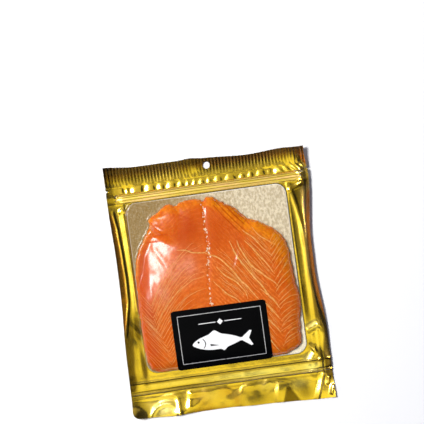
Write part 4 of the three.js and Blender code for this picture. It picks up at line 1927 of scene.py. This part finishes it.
        # Painted shadow in the gap around the board, stronger towards the upper right.
        gap = ramp(1.2, 0.5, BOARD.outside(x, y)) * (0.6 + 0.4 * ramp(-30, 40, x + 0.6 * y))
        top = (0.9 + 0.2 * self.ribs) * ramp(111, 122, y) + 0.6 * self.crease_shade + 0.35 * self.valley_shade
        far = (0.35 + 0.4 * ramp(50, 65, y)) * unit(self.beyond()) * ramp(89, 92, x)
        return gap + top + far + 0.4 * self.side() + 0.6 * unit(self.foot - 1)

    def painted_sheen(self) -> Values:
        """The painted sheen of the flap and the seal."""
        return sum(sheen.depth(self.x, self.y) for sheen in SHEENS)


@dataclass
class FishBoard:
    """The rounded board that stiffens the pack."""

    bevel: float = 0.45
    margin: float = 0.9
    corner_steps: int = 20

    def build(self) -> Piece:
        """Builds the board as stacked outlines, with eased edges and a narrow margin on top.

        Returns:
            The board.
        """
        levels = (
            (BOARD_BASE, self.bevel),
            (BOARD_BASE + self.bevel, 0.0),
            (BOARD_TOP - self.bevel, 0.0),
            (BOARD_TOP, self.bevel),
            (BOARD_TOP, self.margin),
        )
        rings = [BOARD.outline(self.corner_steps, inset) for _, inset in levels]
        count = len(rings[0])
        points = np.array([(x, y, z) for (z, _), ring in zip(levels, rings, strict=True) for x, y in ring])
        made = new_object("fish_board", to_frame(*points.T), stacked_faces(0, count, len(levels)), sharp=25)
        # The pale cut edges also stand as a painted highlight, dimmed towards the left as painted shade.
        lit = 0.2 + 0.8 * ramp(-78, -60, points[:, 0])
        paint(made, "cut", np.repeat([1.0, 1.0, 1.0, 1.0, 0.0], count) * lit)
        dress(made, SatinBoard().material("satin_board"))
        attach(made, "root")
        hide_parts("board")
        return made


@dataclass(frozen=True)
class FatSeam:
    """A bold line of fat through a few points of the plan, and its width."""

    points: tuple[Point, ...]
    width: float

    def curve(self, count: int) -> Values:
        """A smooth curve of the third degree that follows the points.

        Args:
            count: Points of the curve.

        Returns:
            The curve's points.
        """
        knots = np.array(self.points)
        steps = np.hypot(*np.diff(knots, axis=0).T)
        share = np.concatenate([[0], np.cumsum(steps)]) / steps.sum()
        fit = np.polyfit(share, knots, min(3, len(knots) - 1))
        return np.vander(np.linspace(0, 1, count), len(fit)) @ fit


@dataclass
class SlicedFish:
    """The sliced side of fish, with its seams of fat."""

    rings: int = 138
    rays: int = 620
    seam_points: int = 36
    line_limit: float = 0.985
    line_taper: float = 0.12
    line_step: float = 1.2
    line_wander: float = 0.7
    line_flatten: float = 0.35
    speck_count: int = 60
    speck_spread: Point = (0.8, 3.2)
    speck_limit: float = 0.96
    speck_sizes: Point = (0.25, 0.8)
    speck_flatten: float = 0.4
    speck_places: tuple[float, ...] = (77, 63, 52, 43, 33, 28, 18, 4, -8, -20)
    seams: tuple[FatSeam, ...] = (
        FatSeam(((-7.7, 2), (2.2, -8.9), (14, -20.7), (20, -30)), 0.55),
        FatSeam(((-2.8, 15.8), (7.1, 4.9), (17.9, -5.9), (23.8, -20.7)), 0.7),
        FatSeam(((-11.6, 30.2), (-2, 27), (7.1, 15.8), (16.9, 3.9), (26.8, -8.9), (35.5, -24)), 0.8),
        FatSeam(((13, 39.4), (21.4, 23.6), (25.8, 9.9), (34.7, -2), (43.5, -14.8), (53, -29)), 0.85),
        FatSeam(((20.9, 38.4), (29.7, 17.7), (38.6, 5.9), (48.5, -3.9), (56.3, -12.8)), 0.85),
        FatSeam(((28.8, 38.4), (38.6, 24.6), (47.5, 10.8), (54.4, 1)), 0.75),
        FatSeam(((27.8, 48.3), (38.6, 37.4), (50.4, 23.6), (54.4, 18)), 0.6),
        FatSeam(((36.6, 50.2), (46, 40), (59.3, 29.6)), 0.5),
    )
    low_seams: tuple[FatSeam, ...] = (
        FatSeam(((38, -12), (47.1, -22.4), (54.5, -32.9)), 0.7),
        FatSeam(((38, -22), (45.9, -33.5), (53, -45)), 0.7),
        FatSeam(((38, -38), (45.9, -49.5), (53, -57.5)), 0.7),
        FatSeam(((38, -54), (45.3, -70.4), (49, -76)), 0.65),
    )
    deep_zones: tuple[Shade, ...] = (
        Shade(-26, 52, 15, 22.5, 1.0),
        Shade(14, 62, 18, 18, 0.55),
        Shade(2, 42, 9.6, 12, 0.5),
        Shade(22, 38, 10, 10, 0.4),
    )
    pale_zones: tuple[Shade, ...] = (
        Shade(-28, 14, 32, 24, 1.0),
        Shade(8, -12, 26, 26, 0.8),
        Shade(20, 22, 14, 18.2, 0.5),
    )
    # Where a haze of reflected light is painted beside the highlight.
    painted_haze_zones: tuple[Shade, ...] = (Shade(-44, 20, 21, 14, 0.8), Shade(-61, -5, 9, 10.8, 0.5))
    strokes: tuple[tuple[Point, Point], ...] = (
        ((-39.5, 82), (-37.5, 70)),
        ((-57, 73.5), (-42, 74)),
        ((-66, 53.6), (-46, 54.6)),
        ((-28, 83), (-24, 74)),
        ((-33, 72), (-22, 66)),
        ((-18, 82), (-16, 76)),
        ((-70, 48.4), (-52, 48.2)),
    )
    left_seams: tuple[FatSeam, ...] = (
        FatSeam(((-39.2, 36.8), (-29.4, 34.8), (-13.6, 31.5), (-7.7, 32.3)), 0.6),
        FatSeam(((-14, 8), (-30, 4), (-48, -8), (-60, -22)), 0.3),
        FatSeam(((-15, -4), (-30, -8), (-46, -19), (-58, -34)), 0.3),
    )

    def build(self) -> list[Piece]:
        """Builds the flesh, the fat lines and the specks along the middle.

        Returns:
            The three pieces.
        """
        flesh = self.flesh()
        pieces = [flesh, self.fat_lines(flesh), self.fat_specks(flesh)]
        for piece in pieces:
            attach(piece, "root")
            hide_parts("salmon")
        return pieces

    def flesh(self) -> Piece:
        """The flesh as rings from the middle out over the rim to the base.

        Returns:
            The flesh.
        """
        angles = np.linspace(-math.pi, math.pi, self.rays, endpoint=False)
        reach = FISH.reach(angles)
        shares = (1 - (1 - np.arange(1, self.rings + 1) / self.rings) ** 1.25)[:, None]
        radius = shares * (reach + FISH.ragged(angles) * ramp(0.85, 1, shares))
        radius = np.vstack([radius, 0.992 * reach])
        x = FISH.centre[0] + radius * np.cos(angles)
        y = FISH.centre[1] + radius * np.sin(angles)
        z = FISH.top(x, y)
        z[-2:] = np.array([[FISH_BASE + FISH.rim * 0.45], [FISH_BASE]])
        middle = [np.array([place]) for place in FISH.centre]
        poles = [to_frame(*middle, height) for height in (FISH.top(*middle), FISH_BASE)]
        count = x.size
        numbers = np.arange(count).reshape(x.shape)
        faces = [face[::-1] for face in quads(np.hstack([numbers, numbers[:, :1]]))]
        for inner, outer in zip(ring_edges(numbers[0]), ring_edges(numbers[-1]), strict=True):
            faces += [(count, *inner), (count + 1, *outer[::-1])]
        made = new_object("salmon_flesh", np.vstack([to_frame(x, y, z), *poles]), faces)
        self.tint(made)
        self.number_flakes(made)
        dress(made, SmokedFish().material("smoked_fish"))
        return made

    def tint(self, made: Piece) -> None:
        """Marks the zones where the flesh is deep, pale or yellow at the rim, with painted shadow in the
        cleft at the top and a painted haze of reflected light.

        Args:
            made: The flesh.
        """
        x, y = plan_of(made)
        mottle = 0.25 * noise(x, y, 12, 61)
        cuts = sum(bell(FISH.slice_level(x, y) - edge - 0.4, 0.6) for edge in FISH.slice_edges)
        cuts = cuts * window(0, 6, 30, 44, x) * ramp(44, 56, y)
        # Painted shadow in the cleft between the lobes at the top.
        notch_shadow = bell(np.hypot((x + 7.2) / 1.6, y - 83.5), 1.6)
        strokes = sum(bell(along_and_off(x, y, *ends)[1], 0.8) for ends in self.strokes)
        marks = 0.9 * cuts + notch_shadow + 0.7 * strokes
        paint(made, "deep", unit(self.depth(x, y) * (1 + mottle) + marks))
        pale = sum(zone.depth(x, y) for zone in self.pale_zones)
        paint(made, "pale", unit(0.75 * pale * (1 + mottle)))
        # Painted haze of reflected light beside the highlight.
        painted_haze = sum(zone.depth(x, y) for zone in self.painted_haze_zones)
        paint(made, "painted_haze", unit(painted_haze * (1 + 0.5 * noise(x, y, 9, 65))))
        wide, narrow = ramp(-5, 30, x) * ramp(-20, 30, y), ramp(-50, -66, x)
        start, end = 0.86 - 0.12 * wide + 0.08 * narrow, 0.97 - 0.03 * wide + 0.018 * narrow
        rim = ramp(start, end, FISH.share(x, y)) * (1 + 0.5 * noise(x, y, 3.5, 64))
        rim = rim * (0.35 + 0.65 * ramp(-20, 40, y)) * (1 - 0.45 * ramp(2, -10, x))
        paint(made, "rim", unit(rim - cuts - notch_shadow))

    def depth(self, x: Values, y: Values) -> Values:
        """How deep the flesh's colour is, before its marks."""
        return sum(zone.depth(x, y) for zone in self.deep_zones) + 0.9 * ramp(-64, -74, x)

    def number_flakes(self, made: Piece) -> None:
        """Numbers the flakes for the faint lines between them, and says how far the lines tell.

        Args:
            made: The flesh.
        """
        x, y = plan_of(made)
        seam = FISH.seam(y)
        turn_right = 55 - seam
        right = x - seam
        outer = -np.maximum(right - turn_right, 0) * lerp(0.5, 1.3, ramp(-35, 12, y))
        at_right = y + 1.35 * np.minimum(right, turn_right) + outer
        turn_left = seam + 71.5 - 12 * ramp(-26, -70, y)
        at_left = y + np.minimum(-right, turn_left) ** 2 / 70 - 1.45 * np.maximum(-right - turn_left, 0)
        flake = np.where(right > 0, at_right, at_left)
        paint(made, "flake", flake / 5.2 + 0.4 * noise(x, y, 17, 62))
        marbled = 0.5 * (1 - unit(self.depth(x, y))) * ramp(0.99, 0.9, FISH.share(x, y))
        marbled = marbled * (0.55 + 0.45 * ramp(-20, 10, x))
        paint(made, "marbled", unit(marbled * unit(0.7 + 0.7 * noise(x, y, 13, 63))))

    def lines(self) -> list[tuple[Values, float]]:
        """Fat lines as plan points with a thickness, family by family."""
        return [*self.long_lines(), *self.rising_lines(), *self.arched_lines()]

    def long_lines(self) -> list[tuple[Values, float]]:
        """The long slanting lines of the right lobe, bold ones with faint ones between.

        Returns:
            Each line's points and its thickness.
        """
        rng = np.random.default_rng(23)
        found = []
        for family in (self.seams, self.low_seams, self.left_seams):
            curves = [seam.curve(self.seam_points) for seam in family]
            for seam, curve in zip(family, curves, strict=True):
                found.append((self.swayed(curve, rng.uniform(0, 6)), seam.width))
            for first, second in zip(curves, curves[1:] if family is not self.left_seams else ()):
                for share in (0.2, 0.4, 0.6, 0.8):
                    between = lerp(first, second, share + rng.uniform(-0.08, 0.08))
                    start, end = rng.integers(0, 16), rng.integers(22, 36)
                    found.append((self.swayed(between, rng.uniform(0, 6))[start:end], rng.uniform(0.12, 0.3)))
        return found

    @staticmethod
    def swayed(curve: Values, phase: float) -> Values:
        """The curve with a slight uneven sway across its run."""
        sway = 0.7 * np.sin(curve[:, 0] / 5 + phase) + 0.3 * np.sin(curve[:, 0] / 2.1 + 2 * phase)
        return curve + np.column_stack([0.6 * sway, 0.6 * sway])

    def rising_lines(self) -> list[tuple[Values, float]]:
        """The short lines that climb from the right vertex to the edge.

        Returns:
            Each line's points and its thickness.
        """
        rng = np.random.default_rng(17)
        found = []
        level = 38.0
        while level > -78:
            run = lerp(9, 40, float(ramp(-38, 5, np.array(level))))
            start = 53.5 + rng.uniform(-2.5, 3.5)
            x = np.linspace(start, 76, 14)
            y = level + 1.25 * run * (1 - np.exp((start - x) / run)) + 0.5 * np.sin(x / 3 + level)
            found.append((np.column_stack([x, y]), rng.uniform(0.22, 0.42)))
            level -= rng.uniform(3.6, 6.2)
        return found

    def arched_lines(self) -> list[tuple[Values, float]]:
        """The arched lines of the left lobe and the steep ones that climb from its vertex.

        Returns:
            Each line's points and its thickness.
        """
        rng = np.random.default_rng(19)
        found = []
        level = 44.0
        while level > -76:
            seam = float(FISH.seam(np.array(level)))
            turn = -71.5 + 12 * float(ramp(26, -40, np.array(level)))
            x = np.linspace(seam - rng.uniform(2, 30), turn, 24)
            y = level - (seam - x) ** 2 / 70 + 0.8 * np.sin(x / 5 + level) + 0.3 * np.sin(x / 2.1 + level)
            outer = np.linspace(turn, -85, 10)[1:]
            rise = 1.3 * (turn - outer) + 0.6 * np.sin(outer / 2.7 + level)
            x, y = np.append(x, outer), np.append(y, y[-1] + rise)
            found.append((np.column_stack([x, y]), rng.uniform(0.14, 0.26)))
            level -= rng.uniform(3.4, 5.8)
        return found

    def fat_lines(self, flesh: Piece) -> Piece:
        """Lays the fat lines on the flesh.

        Args:
            flesh: The flesh.

        Returns:
            The fat lines.
        """
        plan, edges, thick = [], [], []
        for line, size in self.lines():
            kept = line[FISH.share(*line.T) < self.line_limit]
            if len(kept) < 3:
                continue
            edges += [(len(plan) + k, len(plan) + k + 1) for k in range(len(kept) - 1)]
            plan += kept.tolist()
            run = np.linspace(self.line_taper, math.pi - self.line_taper, len(kept))
            thick += (size * MM * np.sin(run) ** 0.5).tolist()
        lines = wire_object("fat_lines", to_frame(*np.array(plan).T, 0), edges)
        paint(lines, "thick", np.array(thick))
        fat = FishFat((0.98, 0.50, 0.16, 1), (0.93, 0.34, 0.06, 1)).material("fish_fat")
        fat_line_recipe().apply(lines, {
            "Ground": flesh,
            "Step": self.line_step * MM,
            "Wander": self.line_wander * MM,
            "Flatten": self.line_flatten,
            "Material": fat,
        })
        dress(lines, fat)
        return lines

    def fat_specks(self, flesh: Piece) -> Piece:
        """Scatters specks of fat on the flesh, along the seam of the two lobes.

        Args:
            flesh: The flesh.

        Returns:
            The specks.
        """
        rng = np.random.default_rng(29)
        across, along = self.speck_spread
        y = rng.choice(np.array(self.speck_places), self.speck_count) + rng.normal(0, along, self.speck_count)
        x = FISH.seam(y) + rng.normal(0, across, y.size)
        on_fish = FISH.share(x, y) < self.speck_limit
        specks = wire_object("fat_specks", to_frame(x[on_fish], y[on_fish], 0))
        white = FishFat((0.97, 0.75, 0.56, 1), (0.92, 0.52, 0.30, 1)).material("seam_fat")
        fat_speck_recipe().apply(specks, {
            "Ground": flesh,
            "Smallest": self.speck_sizes[0] * MM,
            "Largest": self.speck_sizes[1] * MM,
            "Flatten": self.speck_flatten,
            "Seed": 3,
            "Material": white,
        })
        dress(specks, white)
        return specks


@dataclass
class Label:
    """The dark sticker on the front film, with its border and a plain motif."""

    films: Films
    thickness: float = 0.12
    lift: float = 0.05
    ink: float = 0.05
    border_inset: float = 5.7
    border_width: float = 0.65
    border_radius: float = 0.5
    columns: int = 96
    rows: int = 60
    eased: int = 24
    longest_edge: float = 1.8
    cuts: int = 5

    def __post_init__(self) -> None:
        """Works out the height of the sticker's face over a grid."""
        across = np.linspace(LABEL.left, LABEL.right, self.columns + 1)
        along = np.linspace(LABEL.bottom, LABEL.top, self.rows + 1)
        x, y = np.meshgrid(across, along)
        under = self.films.height_at(x, y)
        for _ in range(self.eased):
            framed = np.pad(under, 1, mode="edge")
            around = framed[:-2, 1:-1] + framed[2:, 1:-1] + framed[1:-1, :-2] + framed[1:-1, 2:]
            under = np.maximum(under, around / 4)
        self.face = under + self.lift + self.thickness

    def surface(self, x: Values, y: Values) -> Values:
        """Height of the sticker's face.

        Args:
            x: Places across.
            y: Places along.

        Returns:
            Height at each point on it.
        """
        u = unit((x - LABEL.left) / (LABEL.right - LABEL.left)) * self.columns
        v = unit((y - LABEL.bottom) / (LABEL.top - LABEL.bottom)) * self.rows
        i = np.minimum(u.astype(int), self.columns - 1)
        j = np.minimum(v.astype(int), self.rows - 1)
        return bilinear(self.face, j, i, v - j, u - i)

    def printed(self, name: str, loops: Sequence[Sequence[Point]]) -> Piece:
        """A layer of ink on the sticker's face, filled between outlines.

        Args:
            name: The object's name.
            loops: The outer outlines and the holes.

        Returns:
            The ink as an object.
        """
        curve = bpy.data.curves.new(name, "CURVE")
        curve.dimensions, curve.fill_mode = "2D", "BOTH"
        for loop in loops:
            spline = curve.splines.new("POLY")
            spline.points.add(len(loop) - 1)
            for point, (x, y) in zip(spline.points, loop, strict=True):
                point.co = (x, y, 0, 1)
            spline.use_cyclic_u = True
        holder = link_object(name, curve)
        graph = bpy.context.evaluated_depsgraph_get()
        flat = bpy.data.meshes.new_from_object(holder.evaluated_get(graph))
        bpy.data.objects.remove(holder)
        return self.draped(name, flat)

    def draped(self, name: str, flat: bpy.types.Mesh) -> Piece:
        """Gives a flat filled mesh the sticker's curve and the ink's thickness.

        Args:
            name: The object's name.
            flat: The filled mesh, in millimetres of the plan.

        Returns:
            The ink as an object.
        """
        work = bmesh.new()
        work.from_mesh(flat)
        bmesh.ops.remove_doubles(work, verts=work.verts, dist=1e-4)
        bmesh.ops.triangulate(work, faces=work.faces)
        for _ in range(self.cuts):
            long = [edge for edge in work.edges if edge.calc_length() > self.longest_edge]
            if not long:
                break
            bmesh.ops.subdivide_edges(work, edges=long, cuts=1)
            bmesh.ops.triangulate(work, faces=work.faces)
        bmesh.ops.recalc_face_normals(work, faces=work.faces)
        if sum(face.normal.z for face in work.faces) < 0:
            bmesh.ops.reverse_faces(work, faces=work.faces)
        work.verts.ensure_lookup_table()
        work.verts.index_update()
        plan = np.array([vertex.co[:2] for vertex in work.verts])
        faces = [tuple(vertex.index for vertex in face.verts) for face in work.faces]
        loops = [edge.link_loops[0] for edge in work.edges if len(edge.link_faces) == 1]
        rim = [(loop.vert.index, loop.link_loop_next.vert.index) for loop in loops]
        work.free()
        under = self.surface(*plan.T)
        return thin_shell(name, to_frame(*plan.T, under + self.ink), to_frame(*plan.T, under), faces, rim)

    def stock(self) -> Piece:
        """The sticker itself, a fine grid with rounded corners.

        Returns:
            The sticker as an object.
        """
        u = np.linspace(0, 1, self.columns + 1)
        v = np.linspace(0, 1, self.rows + 1)
        y = np.tile(lerp(LABEL.bottom, LABEL.top, v)[:, None], (1, self.columns + 1))
        off = np.minimum(y - LABEL.bottom, LABEL.top - y)
        inside = np.clip(LABEL.radius - off, 0, LABEL.radius)
        inset = LABEL.radius - np.sqrt(LABEL.radius**2 - inside**2)
        x = lerp(LABEL.left + inset, LABEL.right - inset, u[None, :])
        top = self.surface(x, y)
        numbers = np.arange(x.size).reshape(x.shape)
        rim = ring_edges([*numbers[0], *numbers[1:, -1], *numbers[-1, -2::-1], *numbers[-2:0:-1, 0]])
        upper, lower = to_frame(x, y, top), to_frame(x, y, top - self.thickness)
        return thin_shell("label_stock", upper, lower, quads(numbers), rim)

    def motif(self) -> list[list[Point]]:
        """A plain fish with fins, its eye and gill left open, under a rule with a small diamond.

        Returns:
            The outlines and holes, in millimetres of the plan.
        """
        turns = np.linspace(0, 1, 48)
        back = 8.2 * np.sin(math.pi * turns**0.85) ** 0.75 + 3.6 * bell(turns - 0.46, 0.09)
        belly = -7.2 * np.sin(math.pi * turns**0.85) ** 0.8 - 2.4 * bell(turns - 0.62, 0.05)
        tail = [(50.5, 2.2), (58, 7.6), (60, 7.0), (56.5, 0), (60, -7.0), (58, -7.6), (50.5, -2.2)]
        upper = [(50 * t, max(up, 1.6)) for t, up in zip(turns[1:], back[1:], strict=True)]
        lower = [(50 * t, min(down, -1.6)) for t, down in zip(turns[1:], belly[1:], strict=True)]
        body = [(0.0, 0.0), *upper, *tail, *lower[::-1]]
        round_off = np.linspace(0, 2 * math.pi, 20, endpoint=False)
        eye = [(6.2 + 1.1 * math.cos(a), 1.9 + 1.1 * math.sin(a)) for a in round_off]
        bend = np.linspace(-1, 1, 14)
        gill = [(at - 2.2 * t * t, 4.6 * t) for at, run in ((13.4, bend), (12.5, bend[::-1])) for t in run]
        fin = [(17.5, -1.0), (26.5, -3.4), (17.8, -3.2)]
        rules = [[(left, 19.6), (left + 17, 19.6), (left + 17, 20.3), (left, 20.3)] for left in (8.5, 34.5)]
        diamond = [(30 + 3.0 * across, 19.95 + 3.0 * up) for across, up in ((1, 0), (0, 1), (-1, 0), (0, -1))]
        loops = [body, eye, gill, fin, *rules, diamond]
        return [[(x - 36.4, y - 58.6) for x, y in loop] for loop in loops]

    def build(self) -> list[Piece]:
        """Builds the sticker and its print.

        Returns:
            The sticker, its border and its motif.
        """
        grey = LabelInk((0.5, 0.5, 0.5, 1), (0.28, 0.28, 0.3, 1)).material("border_ink")
        white = LabelInk((0.9, 0.9, 0.9, 1), (0.78, 0.78, 0.8, 1)).material("motif_ink")
        insets = (self.border_inset, self.border_inset + self.border_width)
        border = [LABEL.shrunk(inset, self.border_radius).outline(3) for inset in insets]
        pieces = (
            (self.stock(), LabelStock().material("label_stock")),
            (self.printed("label_border", border), grey),
            (self.printed("label_motif", self.motif()), white),
        )
        for piece, material in pieces:
            dress(piece, material)
            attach(piece, "root")
            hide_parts("label")
        return [piece for piece, _ in pieces]


@dataclass
class Closure:
    """The press-to-close strips, pressed together into one ridged band."""

    base: float = 0.62
    half: float = 3.7
    ends: Point = (-92.2, 92.4)
    top: tuple[Point, ...] = (
        (3.7, 0.8), (3.3, 1.0), (3.0, 0.75), (2.6, 1.12), (1.7, 1.34), (1.45, 1.0), (0.9, 1.45),
        (-0.9, 1.8), (-1.2, 1.35), (-1.6, 1.58), (-2.6, 1.74), (-2.85, 1.2), (-3.3, 1.25), (-3.7, 0.9),
    )
    stations: int = 90
    crushed_run: float = 5.0
    crushed_share: float = 0.45
    sharp: float = 24.0

    def profile(self) -> Piece:
        """The band's section: ridges with a long face towards the header and a short one away from it.

        Returns:
            The section as an object of points and edges.
        """
        section = np.array([(self.half, 0.0), *self.top, (-self.half, 0.0)])
        points = np.column_stack([-section * MM, np.zeros(len(section))])
        return wire_object("closure_section", points, ring_edges(range(len(section))))

    def path(self) -> Piece:
        """The line that the band follows across the pouch.

        Returns:
            The line as an object, with the band's thickness at each of its points.
        """
        x = np.linspace(*self.ends, self.stations)
        y = np.full_like(x, POUCH.zip_y)
        points = to_frame(x, y, POUCH.lift(x, y) + self.base)
        made = wire_object("closure_band", points, [(k, k + 1) for k in range(len(x) - 1)])
        inward = np.minimum(x - self.ends[0], self.ends[1] - x)
        crushed = 1 - self.crushed_share * ramp(self.crushed_run, 0, inward)
        paint(made, "thick", crushed * (1 + 0.04 * noise(x, y, 7, 71)))
        return made

    def build(self) -> Piece:
        """Sweeps the section along the path and gives it its plastic.

        Returns:
            The band.
        """
        plastic = ZipPlastic().material("zip_plastic")
        band, section = self.path(), self.profile()
        closure_recipe().apply(band, {"Section": section, "Material": plastic})
        bpy.data.objects.remove(section)
        smooth(band.data, self.sharp)
        dress(band, plastic)
        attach(band, "root")
        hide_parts("zip_channel", "zip_rib")
        return band


@dataclass
class Studio:
    """Floor, lights, world and camera."""

    roll: float = math.radians(-7.8)
    pixel: float = 1.003 * MM
    image: int = 424
    lens: float = 100.0
    sensor: float = 36.0
    pack_pixel: Point = (220.5, 282.5)
    overhead: float = 1.6
    low: float = 0.07
    half_floor: float = 6.0
    panel_tone: tuple[float, float, float] = (1.0, 0.97, 0.25)

    def to_world(self, across: float, up: float, height: float) -> Vector:
        """A direction or place given along the image's own axes."""
        return Matrix.Rotation(self.roll, 3, "Z") @ Vector((across, up, height))

    def build(self) -> None:
        """Sets up everything around the pack."""
        self.floor()
        self.world()
        self.lights()
        self.camera()

    def floor(self) -> None:
        """A large plain floor under the pack."""
        corners = self.half_floor * np.array([(-1, -1, 0), (1, -1, 0), (1, 1, 0), (-1, 1, 0)])
        made = new_object("studio_floor", corners, [(0, 1, 2, 3)])
        made.data.materials.append(StudioFloor().material("studio_floor"))

    def world(self) -> None:
        """A dim, even surround."""
        world = bpy.data.worlds.new("studio")
        world.use_nodes = True
        world.node_tree.nodes.clear()
        net = Wiring(world.node_tree)
        glow = net.result("ShaderNodeBackground", {"Color": (0.6, 0.62, 1.0, 1), "Strength": 0.1})
        net.node("ShaderNodeOutputWorld", {0: glow})
        bpy.context.scene.world = world

    @staticmethod
    def lamp(name: str, size: Point, power: float, place: Vector) -> Piece:
        """A rectangular light that the camera doesn't see.

        Args:
            name: The light's name.
            size: Its width and height in metres.
            power: Its power in watts.
            place: Where it stands.

        Returns:
            The light, facing straight down.
        """
        data = bpy.data.lights.new(name, "AREA")
        data.shape = "RECTANGLE"
        data.size, data.size_y = size
        data.energy = power
        lamp = link_object(name, data)
        lamp.location = place
        lamp.visible_camera = False
        return lamp

    def area(self, name: str, direction: Point, distance: float, size: Point, power: float) -> Piece:
        """A soft light aimed at the pack.

        Args:
            name: The light's name.
            direction: Its bearing in the image, from the right counterclockwise, and its height, in degrees.
            distance: How far off it stands, in metres.
            size: Its width and height in metres.
            power: Its power in watts.

        Returns:
            The light.
        """
        bearing, rise = (math.radians(value) for value in direction)
        flat = distance * math.cos(rise)
        place = self.to_world(flat * math.cos(bearing), flat * math.sin(bearing), distance * math.sin(rise))
        lamp = self.lamp(name, size, power, place)
        lamp.rotation_euler = (-place).to_track_quat("-Z", "Y").to_euler()
        return lamp

    def panel(self, name: str, across: Point, up: Point, power: float) -> None:
        """A soft panel overhead that only shows in reflections.

        Args:
            name: The light's name.
            across: Where it starts and ends across the image, in metres.
            up: Where it starts and ends up the image, in metres.
            power: Its power in watts.
        """
        place = self.to_world(sum(across) / 2, sum(up) / 2 + self.low, self.overhead)
        lamp = self.lamp(name, (across[1] - across[0], up[1] - up[0]), power, place)
        lamp.rotation_euler = (0, 0, self.roll)
        lamp.data.color = self.panel_tone
        lamp.visible_diffuse = False

    def lights(self) -> None:
        """A strong key from the upper left, weaker panels around, and low ones that only the film mirrors."""
        self.area("key", (158, 60), 2.1, (0.46, 0.46), 51)
        self.area("key_sheen", (158, 60), 2.08, (0.46, 0.46), 18).visible_diffuse = False
        self.area("left_panel", (180, 30), 1.3, (1.2, 0.5), 2.0)
        self.area("top_panel", (92, 38), 1.5, (1.3, 0.5), 1.8)
        self.area("right_panel", (-5, 30), 1.5, (0.9, 0.35), 1.3)
        self.panel("head", (-0.75, 0.5), (0.05, 1.0), 2.1)
        self.panel("foot", (-0.9, 0.8), (-0.66, -0.20), 2.8)
        self.panel("foot_low", (-0.9, 0.8), (-1.1, -0.66), 1.2)
        self.panel("middle", (-0.35, 0.3), (-0.20, 0.05), 0.09)
        self.panel("left_hand", (-1.25, -0.35), (-0.20, 0.05), 0.65)
        for bearing in (20, 110, 200, 290):
            self.area(f"low_glow_{bearing}", (bearing, 13), 2.4, (3.6, 1.0), 6.5).visible_diffuse = False

    def camera(self) -> None:
        """A long lens straight above, with the pack below the middle of the view."""
        data = bpy.data.cameras.new("camera")
        data.lens, data.sensor_width = self.lens, self.sensor
        distance = self.lens / self.sensor * self.image * self.pixel
        offset = self.to_world(
            (self.image / 2 - self.pack_pixel[0]) * self.pixel,
            (self.pack_pixel[1] - self.image / 2) * self.pixel,
            0.0,
        )
        made = link_object("camera", data)
        made.location = offset + Vector((0, 0, distance))
        made.rotation_euler = (0, 0, self.roll)
        bpy.context.scene.camera = made
        bpy.context.scene.view_settings.view_transform = "Standard"


def main() -> None:
    """Builds the pack and the studio, and reports each piece."""
    logging.basicConfig(level=logging.INFO, format="%(name)s: %(message)s")
    Studio().build()
    films = Films()
    films.build()
    FishBoard().build()
    SlicedFish().build()
    Label(films).build()
    Closure().build()


if __name__ == "__main__":
    main()
